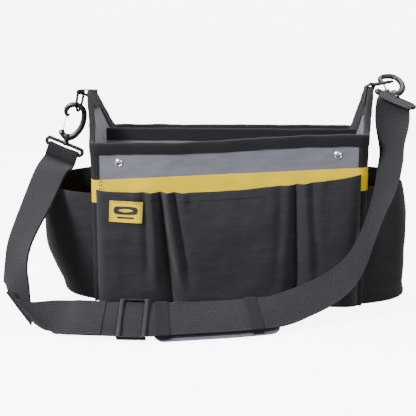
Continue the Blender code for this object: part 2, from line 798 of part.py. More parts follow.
def clips():
    """Both clips; returns where the strap leaves each eye and which way its width runs."""
    ends = {}
    for side, clip in CLIPS.items():
        tab(side, clip)
        place = frame_from(clip["hang"], clip["up"], clip["across"]) @ Matrix.Translation(clip["seat"])
        swing = empty(clip["name"] + "_clip_axis", Matrix.Translation(clip["bar"]))
        twist = empty(clip["name"] + "_hook_axis", place @ Matrix.Translation((SWIVEL_X, 0, 0)), swing)
        hinge = empty(clip["name"] + "_gate_axis", place @ Matrix.Translation((PIN_AT[0], 0, PIN_AT[1])), twist)
        ring(side, clip, swing)
        hook(clip, place, twist)
        gate(clip, place, hinge)
        eye(clip, place, swing)
        frame, turn, legs = strap_loop(side, clip, place, swing)
        low = EYE_BAR_Z - legs[0 if side < 0 else 1]
        lead = [frame @ Vector((SWIVEL_X, side * turn, low - step)) for step in (0.0026, 0.0110)]
        ends[side] = {"lead": lead, "back": frame @ Vector((SWIVEL_X, turn, EYE_BAR_Z - legs[1] - 0.0012)),
                      "across": -(frame.to_3x3() @ Vector((1, 0, 0)))}
    return ends


# Strap route between the eyes: centre of the webbing, and the direction from its
# ground edge to its upper edge
LEFT_RUN = [((-0.2785, -0.051, 0.1910), (-0.98, 0.10, 0.10)),
            ((-0.2860, -0.103, 0.1510), (-0.94, 0.25, 0.0)),
            ((-0.2920, -0.157, 0.1080), (-0.88, 0.40, -0.20)),
            ((-0.2880, -0.207, 0.0800), (-0.74, 0.50, -0.30))]
FOLD_END = (-0.2440, -0.2230, 0.0220)
FOLD_R = 0.012
FOLD_TURN = (20.0, 180.0)
FOLD_LEAN = 38.0
FRONT_RUN = [((-0.2200, -0.2430, 0.0218), (0.0, 0.66, 0.75)),
             ((-0.1920, -0.2540, 0.0230), (0.0, 0.70, 0.71)),
             ((-0.1620, -0.2600, 0.0243), (0.0, 0.72, 0.69)),
             ((-0.1390, -0.2610, 0.0246), (0.0, 0.72, 0.69)),
             ((-0.1160, -0.2620, 0.0249), (0.0, 0.72, 0.69)),
             ((-0.0930, -0.2610, 0.0250), (-0.03, 0.73, 0.68)),
             ((-0.0640, -0.2550, 0.0247), (-0.10, 0.76, 0.64)),
             ((-0.0300, -0.2470, 0.0245), (-0.15, 0.77, 0.62)),
             ((0.0220, -0.2330, 0.0245), (-0.20, 0.76, 0.62)),
             ((0.0720, -0.2150, 0.0255), (-0.28, 0.73, 0.62)),
             ((0.1070, -0.1900, 0.0310), (-0.38, 0.70, 0.60)),
             ((0.1420, -0.1680, 0.0420), (-0.48, 0.70, 0.52)),
             ((0.1690, -0.1570, 0.0600), (-0.45, 0.80, 0.38)),
             ((0.1880, -0.1500, 0.0850), (-0.34, 0.92, 0.20)),
             ((0.2010, -0.1440, 0.1150), (-0.28, 0.96, 0.05)),
             ((0.2130, -0.1360, 0.1450), (-0.30, 0.95, 0.0)),
             ((0.2260, -0.1220, 0.1760), (-0.42, 0.90, 0.0)),
             ((0.2340, -0.1050, 0.2070), (-0.50, 0.86, 0.0)),
             ((0.2395, -0.0860, 0.2380), (-0.55, 0.83, 0.0))]
SLIDER_X = -0.116
PAD_SPAN = (-0.093, 0.077)
KEEPER_X = (-0.077, 0.043)


def fold():
    """Half turn of the webbing round a slanted axis, where the left run becomes the front run."""
    tip = Matrix.Rotation(math.radians(-FOLD_LEAN), 3, "X")
    axis = tip @ Vector((1, 0, -1)).normalized()
    back = tip @ Vector((0, 1, 0))
    under = tip @ Vector((-1, 0, -1)).normalized()
    centre = Vector(FOLD_END) - back * FOLD_R - axis * FOLD_R * math.pi
    stations = []
    start, stop = FOLD_TURN
    for i in range(9):
        angle = math.radians(start + (stop - start) * i / 8)
        radial = -math.cos(angle) * back + math.sin(angle) * under
        tangent = math.sin(angle) * back + math.cos(angle) * under
        stations.append((centre + radial * FOLD_R + axis * FOLD_R * angle, tangent - axis))
    return stations


def strap_stations(ends):
    """Stations of the whole strap from the left eye to the right one."""
    route = [(p, ends[-1]["across"]) for p in ends[-1]["lead"]]
    route += [(Vector(p), Vector(w)) for p, w in LEFT_RUN]
    route += fold()
    route += [(Vector(p), Vector(w)) for p, w in FRONT_RUN]
    route += [(p, ends[1]["across"]) for p in reversed(ends[1]["lead"])]
    centres = smooth_path([p for p, _ in route], 2)
    widths = smooth_path([w.normalized() for _, w in route], 2)
    stations = []
    for i, centre in enumerate(centres):
        before = centres[max(i - 1, 0)]
        after = centres[min(i + 1, len(centres) - 1)]
        run = (after - before).normalized()
        width = (widths[i] - run * widths[i].dot(run)).normalized()
        stations.append((centre, width, run.cross(width)))
    return stations


def ribbon(name, stations, offset, width, thickness, look, lift=0.0):
    """Flat band along the strap, offset along the webbing's face."""
    columns = []
    for centre, across, normal in stations:
        middle = centre + normal * offset + across * lift
        columns.append([middle - across * width / 2, middle + across * width / 2])
    band = add(name, grid_mesh(columns), look)
    solidify(band, thickness, 0)
    return band


def ribbon_between(stations, low, high):
    """Stations of the front run whose centres lie between two values of X."""
    return [s for s in stations if low <= s[0].x <= high and s[0].z < 0.04 and s[0].y < -0.15]


def station_frame(stations, x):
    """Placement on the front run: local X along the strap, Y to its upper edge, Z off its face."""
    front = ribbon_between(stations, -0.22, 0.12)
    near = min(front, key=lambda s: abs(s[0].x - x))
    centre, across, normal = near
    run = across.cross(normal).normalized()
    turn = Matrix((run, across, normal)).transposed().to_4x4()
    return Matrix.Translation(centre + run * ((x - centre.x) / run.x)) @ turn


def block(name, place, centre, size):
    bpy.ops.mesh.primitive_cube_add(size=1)
    obj = bpy.context.object
    obj.name = name
    obj.matrix_world = place @ Matrix.Translation(centre) @ Matrix.Diagonal((*size, 1))
    return obj


def slider(stations):
    """Ladder frame whose end bars lie over the webbing and whose centre bar lies under it."""
    place = station_frame(stations, SLIDER_X)
    axis = empty("slider_axis", place)
    clear = WEBBING / 2 + SLIDER_CLEARANCE
    bar = 0.0028
    reach = clear + bar
    half = WEBBING_WIDTH / 2 + 0.0013
    rail = 0.0034
    frame = block("strap_slider", place, (0, half + rail / 2, 0), (SLIDER_LENGTH, rail, 2 * reach))
    keep_piece(frame, "black plastic", axis)
    span = 2 * half + rail
    pieces = [(0, -half - rail / 2, 0, SLIDER_LENGTH, rail, 2 * reach)]
    for x, z in ((-1, 1), (1, 1), (0, -1)):
        pieces.append((x * (SLIDER_LENGTH / 2 - 0.0032), 0, z * (clear + bar / 2 - 0.00005), 0.0056, span, bar - 0.0001))
    for i, (x, y, z, a, b, c) in enumerate(pieces):
        piece = block("slider_bar_%d" % i, place, (x, y, z), (a, b, c))
        hide_cutter(piece)
        union(frame, piece)


def pad(stations):
    """Shoulder pad with a rubber underside and two keepers that hold it on the strap."""
    along = ribbon_between(stations, *PAD_SPAN)
    top = WEBBING / 2 + PAD_CLEARANCE
    middle = along[len(along) // 2]
    axis = empty("pad_axis", Matrix.Translation(middle[0]))
    cushion = ribbon("shoulder_pad", along, -(top + PAD / 2), PAD_WIDTH, PAD, "black fabric")
    grip = ribbon("pad_grip", along, -(top + PAD + GAP + PAD_GRIP / 2), PAD_WIDTH - 0.004, PAD_GRIP, "grey rubber")
    pieces = [cushion, grip]
    for i, x in enumerate(KEEPER_X):
        place = station_frame(stations, x)
        half = KEEPER_WIDTH / 2
        low = -top + 2 * GAP + TAPE / 2
        over = WEBBING / 2 + PAD_CLEARANCE + TAPE / 2
        edge = WEBBING_WIDTH / 2 + 0.0022
        path = [(-edge - 0.0030, low), (-edge, low + 0.0004), (-edge + 0.0006, over), (edge - 0.0006, over),
                (edge, low + 0.0004), (edge + 0.0030, low)]
        columns = [[place @ Vector((a, b, c)) for b, c in path] for a in (-half, half)]
        keeper = add("pad_keeper_" + ("left", "right")[i], grid_mesh(columns), "black tape")
        solidify(keeper, TAPE, 0)
        pieces.append(keeper)
    for piece in pieces:
        piece.parent = axis
        piece.matrix_parent_inverse = axis.matrix_world.inverted()


def strap_return(stations, ends):
    """Second layer of webbing, from the left eye back to the slider, inside the main one."""
    stop = SLIDER_X - SLIDER_LENGTH / 2 - SLIDER_TRAVEL - 0.002
    layer = []
    for centre, across, normal in stations:
        layer.append((centre + normal * (WEBBING + LAYER_GAP), across, normal))
        if centre.x > stop and centre.z < 0.04 and len(layer) > 12:
            break
    start, far = Vector(ends[-1]["back"]), layer[0][0]
    for i in range(4):
        centre, across, normal = layer[i]
        layer[i] = (centre + (start - far) * (1 - i / 4), across, normal)
    ribbon("strap_return", layer, 0.0, WEBBING_WIDTH, WEBBING, "webbing")


def build():
    clear_scene()
    base()
    outer_walls()
    boards()
    lining = liner()
    divider()
    rim_bindings()
    corner_tapes()
    yellow_band()
    made = pockets()
    label(made["front_pocket_left"])
    rivets(lining)
    ends = clips()
    stations = strap_stations(ends)
    ribbon("strap", stations, 0.0, WEBBING_WIDTH, WEBBING, "webbing")
    strap_return(stations, ends)
    slider(stations)
    pad(stations)


build()
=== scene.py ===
"""Looks of an open-top garden tool bag with a shoulder strap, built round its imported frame."""
import math

import bmesh
import bpy
from mathutils import Matrix, Vector, noise


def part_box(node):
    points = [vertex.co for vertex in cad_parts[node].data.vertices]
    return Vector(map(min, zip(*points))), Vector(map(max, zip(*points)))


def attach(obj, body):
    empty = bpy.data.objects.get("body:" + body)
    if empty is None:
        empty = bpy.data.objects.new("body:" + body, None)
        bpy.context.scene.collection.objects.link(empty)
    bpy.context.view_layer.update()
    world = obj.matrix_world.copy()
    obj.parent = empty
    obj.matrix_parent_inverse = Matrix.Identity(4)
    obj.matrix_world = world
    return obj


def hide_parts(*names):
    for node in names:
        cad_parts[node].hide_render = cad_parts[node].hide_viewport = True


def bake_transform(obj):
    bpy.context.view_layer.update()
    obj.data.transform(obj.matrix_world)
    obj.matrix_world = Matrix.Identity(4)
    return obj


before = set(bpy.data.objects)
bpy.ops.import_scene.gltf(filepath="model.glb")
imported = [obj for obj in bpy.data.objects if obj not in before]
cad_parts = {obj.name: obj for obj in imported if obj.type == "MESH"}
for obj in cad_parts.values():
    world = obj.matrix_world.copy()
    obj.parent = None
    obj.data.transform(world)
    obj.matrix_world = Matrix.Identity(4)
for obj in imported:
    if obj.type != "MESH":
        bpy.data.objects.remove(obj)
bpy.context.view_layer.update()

# The bag's sizes in metres, as its frame has them
LENGTH = 0.406
DEPTH = 0.200
CORNER = 0.012
RIM = 0.254
RIM_SAG = 0.015
PEAK = {-1: 0.3135, 1: 0.3195}
PEAK_HALF = 0.018
LEAN = {-1: 0.020, 1: 0.014}
LEAN_START = 0.19
STACK = 0.0043
FABRIC = 0.0012
TAPE_LEG = 0.0165
BAND_HEIGHT = 0.034
POCKET_FLOOR = 0.0016
DIVIDER_TOP = 0.2565
FLOOR_TOP = 0.0052
WEBBING = 0.0015
WEBBING_WIDTH = 0.050
ARC = CORNER * math.pi / 2
FLAT = DEPTH / 2 - CORNER
END_HALF = FLAT + ARC


# ---------------------------------------------------------------- materials

def group(name, ins, outs):
    """Empty shader group with float or vector inputs and float outputs."""
    tree = bpy.data.node_groups.new(name, "ShaderNodeTree")
    for label, kind, value in ins:
        socket = tree.interface.new_socket(label, in_out="INPUT", socket_type=kind)
        if kind == "NodeSocketFloat":
            socket.default_value = value
    for label in outs:
        tree.interface.new_socket(label, in_out="OUTPUT", socket_type="NodeSocketFloat")
    return tree, tree.nodes.new("NodeGroupInput"), tree.nodes.new("NodeGroupOutput")


class Wiring:
    """Short hand for making and joining shader nodes."""

    def __init__(self, tree):
        self.tree = tree

    def node(self, kind, **settings):
        made = self.tree.nodes.new(kind)
        for key, value in settings.items():
            setattr(made, key, value)
        return made

    def plug(self, value, socket):
        if isinstance(value, bpy.types.NodeSocket):
            self.tree.links.new(value, socket)
        else:
            socket.default_value = value

    def math(self, operation, a, b=0.0, c=None):
        made = self.node("ShaderNodeMath", operation=operation)
        self.plug(a, made.inputs[0])
        self.plug(b, made.inputs[1])
        if c is not None:
            self.plug(c, made.inputs[2])
        return made.outputs[0]

    def span(self, value, low, high, start=0.0, stop=1.0):
        made = self.node("ShaderNodeMapRange")
        for socket, part in zip(made.inputs, (value, low, high, start, stop)):
            self.plug(part, socket)
        return made.outputs[0]

    def noise(self, vector, scale, detail=2.0, rough=0.5):
        made = self.node("ShaderNodeTexNoise")
        self.plug(vector, made.inputs["Vector"])
        made.inputs["Scale"].default_value = scale
        made.inputs["Detail"].default_value = detail
        made.inputs["Roughness"].default_value = rough
        return made.outputs["Fac"]

    def mix(self, share, a, b):
        made = self.node("ShaderNodeMix", data_type="RGBA")
        self.plug(share, made.inputs[0])
        self.plug(a, made.inputs[6])
        self.plug(b, made.inputs[7])
        return made.outputs[2]


def weave_group():
    """Plain weave on a map in metres: thread crowns, and the shade between threads."""
    tree, ins, outs = group("plain_weave", [("Map", "NodeSocketVector", None),
                                            ("Warp", "NodeSocketFloat", 0.0010),
                                            ("Weft", "NodeSocketFloat", 0.0010),
                                            ("Slub", "NodeSocketFloat", 0.3)], ["Height", "Shade"])
    w = Wiring(tree)
    split = w.node("ShaderNodeSeparateXYZ")
    w.plug(ins.outputs["Map"], split.inputs[0])
    across = w.math("DIVIDE", split.outputs[0], ins.outputs["Warp"])
    along = w.math("DIVIDE", split.outputs[1], ins.outputs["Weft"])
    sine = [w.math("SINE", w.math("MULTIPLY", part, math.pi)) for part in (across, along)]
    crown = w.math("MULTIPLY", sine[0], sine[1])
    height = w.math("MULTIPLY_ADD", w.math("ABSOLUTE", crown), 0.6, w.math("MULTIPLY", crown, 0.4))
    uneven = w.noise(ins.outputs["Map"], 900.0, 1.0)
    height = w.math("MULTIPLY_ADD", w.math("MULTIPLY", uneven, ins.outputs["Slub"]), 0.8, height)
    w.plug(height, outs.inputs["Height"])
    w.plug(w.span(height, -0.2, 1.0), outs.inputs["Shade"])
    return tree


def rib_group():
    """Heavy webbing on a map in metres: short crowns in columns, every other column a half step on."""
    tree, ins, outs = group("webbing_ribs", [("Map", "NodeSocketVector", None),
                                             ("Column", "NodeSocketFloat", 0.0026),
                                             ("Row", "NodeSocketFloat", 0.0021)], ["Height", "Shade"])
    w = Wiring(tree)
    split = w.node("ShaderNodeSeparateXYZ")
    w.plug(ins.outputs["Map"], split.inputs[0])
    column = w.math("DIVIDE", split.outputs[0], ins.outputs["Column"])
    odd = w.math("MODULO", w.math("FLOOR", column), 2.0)
    row = w.math("MULTIPLY_ADD", odd, 0.5, w.math("DIVIDE", split.outputs[1], ins.outputs["Row"]))
    bump = w.math("ABSOLUTE", w.math("SINE", w.math("MULTIPLY", row, math.pi)))
    side = w.math("ABSOLUTE", w.math("SINE", w.math("MULTIPLY", column, math.pi)))
    height = w.math("MULTIPLY", w.math("POWER", bump, 0.6), w.math("POWER", side, 0.5))
    w.plug(height, outs.inputs["Height"])
    w.plug(w.span(height, 0.1, 1.0), outs.inputs["Shade"])
    return tree


def mottle_group():
    """Slow change of tone in space, with fine dust in it."""
    tree, ins, outs = group("mottle", [("Place", "NodeSocketVector", None), ("Dust", "NodeSocketFloat", 0.4)],
                            ["Tone", "Fine"])
    w = Wiring(tree)
    w.plug(w.noise(ins.outputs["Place"], 14.0, 3.0, 0.55), outs.inputs["Tone"])
    fine = w.span(w.noise(ins.outputs["Place"], 420.0, 2.0, 0.6), 0.35, 0.75)
    w.plug(w.math("MULTIPLY", fine, ins.outputs["Dust"]), outs.inputs["Fine"])
    return tree


WEAVE = weave_group()
RIBS = rib_group()
MOTTLE = mottle_group()


def blank(name, roughness=0.8, metallic=0.0, sheen=0.0):
    """New material: its shader and its wiring."""
    material = bpy.data.materials.new(name)
    material.use_nodes = True
    shader = material.node_tree.nodes["Principled BSDF"]
    shader.inputs["Roughness"].default_value = roughness
    shader.inputs["Metallic"].default_value = metallic
    shader.inputs["Sheen Weight"].default_value = sheen
    shader.inputs["Sheen Roughness"].default_value = 0.45
    shader.inputs["Specular IOR Level"].default_value = 0.5 if metallic or roughness < 0.6 else 0.22
    return material, shader, Wiring(material.node_tree)


def use_group(w, tree, **values):
    made = w.node("ShaderNodeGroup")
    made.node_tree = tree
    for label, value in values.items():
        w.plug(value, made.inputs[label])
    return made


def shades(colour, low, high):
    return tuple((*[c * k for c in colour], 1.0) for k in (low, high))


def cloth(name, colour, tree, bump, roughness, sheen, spread=(0.62, 1.25), worn=None, rumple=0.0, **pitch):
    """Woven material: thread pattern on the piece's own map, slow tone, dust and paler worn edges."""
    material, shader, w = blank(name, roughness, 0.0, sheen)
    where = w.node("ShaderNodeTexCoord")
    threads = use_group(w, tree, Map=where.outputs["UV"], **pitch)
    mottle = use_group(w, MOTTLE, Place=where.outputs["Object"])
    dark, pale = shades(colour, *spread)
    slow = w.math("MULTIPLY", mottle.outputs["Tone"], 0.55)
    share = w.math("MULTIPLY_ADD", threads.outputs["Shade"], 0.55, slow)
    base = w.mix(share, dark, pale)
    wear = w.node("ShaderNodeAttribute", attribute_name="wear")
    edge = w.math("MULTIPLY", wear.outputs["Fac"], w.span(mottle.outputs["Tone"], 0.35, 0.65, 0.25, 0.9))
    rub = worn or [min(1.0, c * 1.7 + 0.01) for c in colour]
    base = w.mix(w.math("MAXIMUM", edge, w.math("MULTIPLY", mottle.outputs["Fine"], 0.25)), base, (*rub, 1.0))
    w.plug(base, shader.inputs["Base Color"])
    w.plug(w.span(share, 0.0, 1.0, roughness + 0.08, roughness - 0.06), shader.inputs["Roughness"])
    bumps = w.node("ShaderNodeBump")
    bumps.inputs["Strength"].default_value = 0.65
    bumps.inputs["Distance"].default_value = bump
    height = w.math("MULTIPLY_ADD", mottle.outputs["Fine"], 0.3, threads.outputs["Height"])
    w.plug(height, bumps.inputs["Height"])
    w.plug(bumps.outputs[0], shader.inputs["Normal"])
    if rumple:
        slant = w.node("ShaderNodeMapping")
        slant.inputs["Rotation"].default_value = (0.0, 0.5, 0.0)
        slant.inputs["Scale"].default_value = (0.6, 1.0, 1.7)
        w.plug(where.outputs["Object"], slant.inputs["Vector"])
        folds = w.node("ShaderNodeBump")
        folds.inputs["Strength"].default_value = rumple
        folds.inputs["Distance"].default_value = 0.006
        w.plug(w.noise(slant.outputs[0], 24.0, 3.0, 0.5), folds.inputs["Height"])
        w.plug(folds.outputs[0], bumps.inputs["Normal"])
    return material


def moulded(name, colour, roughness, metallic=0.0, grain=900.0, bump=0.00005, spread=(0.8, 1.2)):
    """Plastic, rubber or metal with a fine grain, faint scuffs and uneven gloss."""
    material, shader, w = blank(name, roughness, metallic)
    where = w.node("ShaderNodeTexCoord").outputs["Object"]
    mottle = use_group(w, MOTTLE, Place=where)
    dark, pale = shades(colour, *spread)
    fine = w.noise(where, grain, 2.0, 0.6)
    scuffs = w.span(w.noise(where, 160.0, 4.0, 0.7), 0.56, 0.70)
    base = w.mix(w.math("MULTIPLY_ADD", fine, 0.4, w.math("MULTIPLY", mottle.outputs["Tone"], 0.6)), dark, pale)
    base = w.mix(w.math("MULTIPLY", scuffs, 0.35), base, (*[min(1.0, c * 1.8 + 0.02) for c in colour], 1.0))
    w.plug(base, shader.inputs["Base Color"])
    w.plug(w.math("MULTIPLY_ADD", scuffs, 0.15, w.span(fine, 0.3, 0.7, roughness - 0.05, roughness + 0.06)),
           shader.inputs["Roughness"])
    bumps = w.node("ShaderNodeBump")
    bumps.inputs["Strength"].default_value = 0.5
    bumps.inputs["Distance"].default_value = bump
    w.plug(fine, bumps.inputs["Height"])
    w.plug(bumps.outputs[0], shader.inputs["Normal"])
    return material


BLACK = (0.0170, 0.0168, 0.0215)
BLACK_CANVAS = cloth("black_canvas", BLACK, WEAVE, 0.00035, 0.70, 0.18, rumple=0.5, Warp=0.0009, Weft=0.0010)
GREY_CANVAS = cloth("grey_canvas", (0.150, 0.153, 0.185), WEAVE, 0.0003, 0.74, 0.15, (0.80, 1.18), rumple=0.65,
                    Warp=0.0009, Weft=0.0010)
BINDING = cloth("black_binding", (0.0100, 0.0100, 0.0130), RIBS, 0.0004, 0.80, 0.12, Column=0.0011, Row=0.0016)
STRAPPING = cloth("strap_webbing", (0.0165, 0.0165, 0.0205), RIBS, 0.0009, 0.80, 0.10, (0.30, 1.55),
                  Column=0.0034, Row=0.0026)
YELLOW_TAPE = cloth("yellow_tape", (0.80, 0.56, 0.0), RIBS, 0.0003, 0.85, 0.0, (0.88, 1.08),
                    (0.84, 0.61, 0.0), Column=0.0014, Row=0.0018)
THREAD = moulded("black_thread", (0.042, 0.042, 0.050), 0.6, bump=0.0001)
YELLOW_THREAD = moulded("yellow_thread", (0.80, 0.62, 0.16), 0.6, bump=0.0001)
HOOK_PLASTIC = moulded("hook_plastic", (0.010, 0.010, 0.012), 0.36, grain=700.0)
BLACK_STEEL = moulded("black_steel", (0.015, 0.015, 0.017), 0.34, 0.6)
SILVER = moulded("silver_rivet", (0.66, 0.66, 0.67), 0.30, 1.0, spread=(0.85, 1.1))
PATCH = moulded("yellow_rubber", (0.82, 0.58, 0.0), 0.48, spread=(0.94, 1.05))
PATCH_MARK = moulded("black_rubber", (0.020, 0.020, 0.022), 0.5)
GRIP = moulded("grey_rubber", (0.12, 0.12, 0.155), 0.7, bump=0.0002)
BOARD = moulded("board", (0.30, 0.27, 0.22), 0.8, bump=0.0002)

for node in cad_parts.values():
    node.data.materials.clear()
    node.data.materials.append(BOARD if node.name.endswith("board") else SILVER)


# ------------------------------------------------------------------ makers

def smooth(points, per_span, closed=False):
    """Catmull-Rom curve through vectors."""
    count = len(points)
    out = []
    for i in range(count if closed else count - 1):
        if closed:
            p0, p1, p2, p3 = (points[(i + k) % count] for k in (-1, 0, 1, 2))
        else:
            p1, p2 = points[i], points[i + 1]
            p0 = points[i - 1] if i > 0 else p1 * 2 - p2
            p3 = points[i + 2] if i + 2 < count else p2 * 2 - p1
        for k in range(per_span):
            t = k / per_span
            out.append(0.5 * (p1 * 2 + (p2 - p0) * t + (p0 * 2 - p1 * 5 + p2 * 4 - p3) * t * t
                              + (p1 * 3 - p0 - p2 * 3 + p3) * t ** 3))
    if not closed:
        out.append(points[-1].copy())
    return out


def clamp(value):
    return max(0.0, min(1.0, value))


def ease(value):
    value = clamp(value)
    return value * value * (3 - 2 * value)


def ripple(x, y, z, size, seed):
    """Smooth noise between about -1 and 1."""
    return noise.noise(Vector((x / size + seed, y / size - 2 * seed, z / size + 3 * seed)))


def keep(name, form, outwards=False):
    """Object from a bmesh, which is freed."""
    if outwards:
        bmesh.ops.recalc_face_normals(form, faces=form.faces)
    mesh = bpy.data.meshes.new(name)
    form.to_mesh(mesh)
    form.free()
    obj = bpy.data.objects.new(name, mesh)
    bpy.context.scene.collection.objects.link(obj)
    return obj


def build(name, verts, faces, edges=()):
    """Object from points and faces; faces of a solid are turned outwards."""
    mesh = bpy.data.meshes.new(name)
    mesh.from_pydata([tuple(v) for v in verts], edges, faces)
    form = bmesh.new()
    form.from_mesh(mesh)
    bpy.data.meshes.remove(mesh)
    return keep(name, form, not edges)


def grid(name, columns, closed=False, thickness=0.0, offset=0.0, wear=(0.0, 0.0, 0.0, 0.0), edge=0.003):
    """Cloth from columns of points, mapped in metres. 'wear' pales the bottom, top, first and last edges."""
    count, rows = len(columns), len(columns[0])
    wrap = count + 1 if closed else count
    middle = rows // 2
    run = [0.0]
    for i in range(1, wrap):
        run.append(run[-1] + (Vector(columns[i % count][middle]) - Vector(columns[i - 1][middle])).length)
    rise = []
    for column in columns:
        steps = [0.0]
        for a, b in zip(column, column[1:]):
            steps.append(steps[-1] + (Vector(b) - Vector(a)).length)
        rise.append(steps)
    mesh = bpy.data.meshes.new(name)
    starts = [(i * rows, ((i + 1) % count) * rows) for i in range(wrap - 1)]
    mesh.from_pydata([tuple(p) for column in columns for p in column], [],
                     [(a + j, b + j, b + j + 1, a + j + 1) for a, b in starts for j in range(rows - 1)])
    layer = mesh.uv_layers.new(name="UVMap")
    at = 0
    for i in range(wrap - 1):
        for j in range(rows - 1):
            for a, b in ((i, j), (i + 1, j), (i + 1, j + 1), (i, j + 1)):
                layer.data[at].uv = (run[a], rise[a % count][b])
                at += 1
    rub = mesh.attributes.new("wear", "FLOAT", "POINT")
    for i in range(count):
        for j in range(rows):
            gaps = (rise[i][j], rise[i][-1] - rise[i][j], run[i], run[-1] - run[i])
            rub.data[i * rows + j].value = max(k * clamp(1 - g / edge) for k, g in zip(wear, gaps))
    obj = bpy.data.objects.new(name, mesh)
    bpy.context.scene.collection.objects.link(obj)
    if thickness:
        shell = obj.modifiers.new("thickness", "SOLIDIFY")
        shell.thickness = thickness
        shell.offset = offset
    return obj


def plain(obj, sharp=38.0):
    """Apply an object's modifiers, shade it smooth and keep its sharp edges."""
    bpy.context.view_layer.update()
    graph = bpy.context.evaluated_depsgraph_get()
    mesh = bpy.data.meshes.new_from_object(obj.evaluated_get(graph), preserve_all_data_layers=True,
                                           depsgraph=graph)
    obj.modifiers.clear()
    obj.data = mesh
    mesh.name = obj.name
    form = bmesh.new()
    form.from_mesh(mesh)
    limit = math.radians(sharp)
    for edge in form.edges:
        edge.smooth = not (len(edge.link_faces) == 2 and edge.calc_face_angle(0.0) > limit)
    for face in form.faces:
        face.smooth = True
    form.to_mesh(mesh)
    form.free()
    return obj


def finish(obj, material, body, slot, *nodes, sharp=38.0):
    """Paint a piece, fix its shape, and hand it to its body in place of CAD nodes."""
    plain(obj, sharp)
    obj.data.materials.clear()
    obj.data.materials.append(material)
    if body:
        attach(obj, body)
    if nodes:
        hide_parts(*nodes)
    return obj


def join(name, objects):
    """One object from several, their modifiers applied."""
    form = bmesh.new()
    for obj in objects:
        plain(obj)
        form.from_mesh(obj.data)
    for obj in objects:
        bpy.data.objects.remove(obj, do_unlink=True)
    return keep(name, form)


def fuse(obj, voxel, rounds=4):
    """Melt the overlapping shells of an object into one moulded skin."""
    remesh = obj.modifiers.new("fuse", "REMESH")
    remesh.mode = "VOXEL"
    remesh.voxel_size = voxel
    soften = obj.modifiers.new("soften", "SMOOTH")
    soften.iterations = rounds
    return obj


def stitch_tree():
    """Rows of stitches along the edges of a mesh."""
    tree = bpy.data.node_groups.new("stitch_rows", "GeometryNodeTree")
    face = tree.interface
    face.new_socket("Rows", in_out="INPUT", socket_type="NodeSocketGeometry")
    for label, value in (("Pitch", 0.0034), ("Stitch length", 0.0026), ("Thread width", 0.0006)):
        face.new_socket(label, in_out="INPUT", socket_type="NodeSocketFloat").default_value = value
    face.new_socket("Thread", in_out="INPUT", socket_type="NodeSocketMaterial")
    face.new_socket("Stitches", in_out="OUTPUT", socket_type="NodeSocketGeometry")
    nodes, links = tree.nodes, tree.links
    ins, outs = nodes.new("NodeGroupInput"), nodes.new("NodeGroupOutput")
    line = nodes.new("GeometryNodeMeshToCurve")
    even = nodes.new("GeometryNodeResampleCurve")
    even.mode = "LENGTH"
    bead = nodes.new("GeometryNodeMeshUVSphere")
    bead.inputs["Segments"].default_value = 6
    bead.inputs["Rings"].default_value = 5
    bead.inputs["Radius"].default_value = 0.5
    size = nodes.new("ShaderNodeCombineXYZ")
    shape = nodes.new("GeometryNodeTransform")
    way = nodes.new("GeometryNodeInputTangent")
    turn = nodes.new("FunctionNodeAlignRotationToVector")
    turn.axis = "X"
    place = nodes.new("GeometryNodeInstanceOnPoints")
    real = nodes.new("GeometryNodeRealizeInstances")
    paint = nodes.new("GeometryNodeSetMaterial")
    for a, b in ((ins.outputs["Rows"], line.inputs["Mesh"]), (line.outputs[0], even.inputs["Curve"]),
                 (ins.outputs["Pitch"], even.inputs["Length"]), (ins.outputs["Stitch length"], size.inputs[0]),
                 (ins.outputs["Thread width"], size.inputs[1]), (ins.outputs["Thread width"], size.inputs[2]),
                 (size.outputs[0], shape.inputs["Scale"]), (bead.outputs["Mesh"], shape.inputs["Geometry"]),
                 (way.outputs[0], turn.inputs["Vector"]), (even.outputs[0], place.inputs["Points"]),
                 (shape.outputs[0], place.inputs["Instance"]), (turn.outputs[0], place.inputs["Rotation"]),
                 (place.outputs[0], real.inputs[0]), (real.outputs[0], paint.inputs["Geometry"]),
                 (ins.outputs["Thread"], paint.inputs["Material"]), (paint.outputs[0], outs.inputs[0])):
        links.new(a, b)
    return tree


STITCHES = stitch_tree()


def stitch(name, runs, body, slot, thread=THREAD, pitch=0.0034, length=0.0026, width=0.0006):
    """Stitches of one thread along lists of points, all riding on one body."""
    verts, edges = [], []
    for run in runs:
        edges += [(len(verts) + i, len(verts) + i + 1) for i in range(len(run) - 1)]
        verts += [tuple(p) for p in run]
    obj = build(name, verts, [], edges)
    rows = obj.modifiers.new("stitches", "NODES")
    rows.node_group = STITCHES
    values = {"Pitch": pitch, "Stitch length": length, "Thread width": width, "Thread": thread}
    for item in STITCHES.interface.items_tree:
        if item.name in values:
            rows[item.identifier] = values[item.name]
    return finish(obj, thread, body, slot, sharp=180.0)


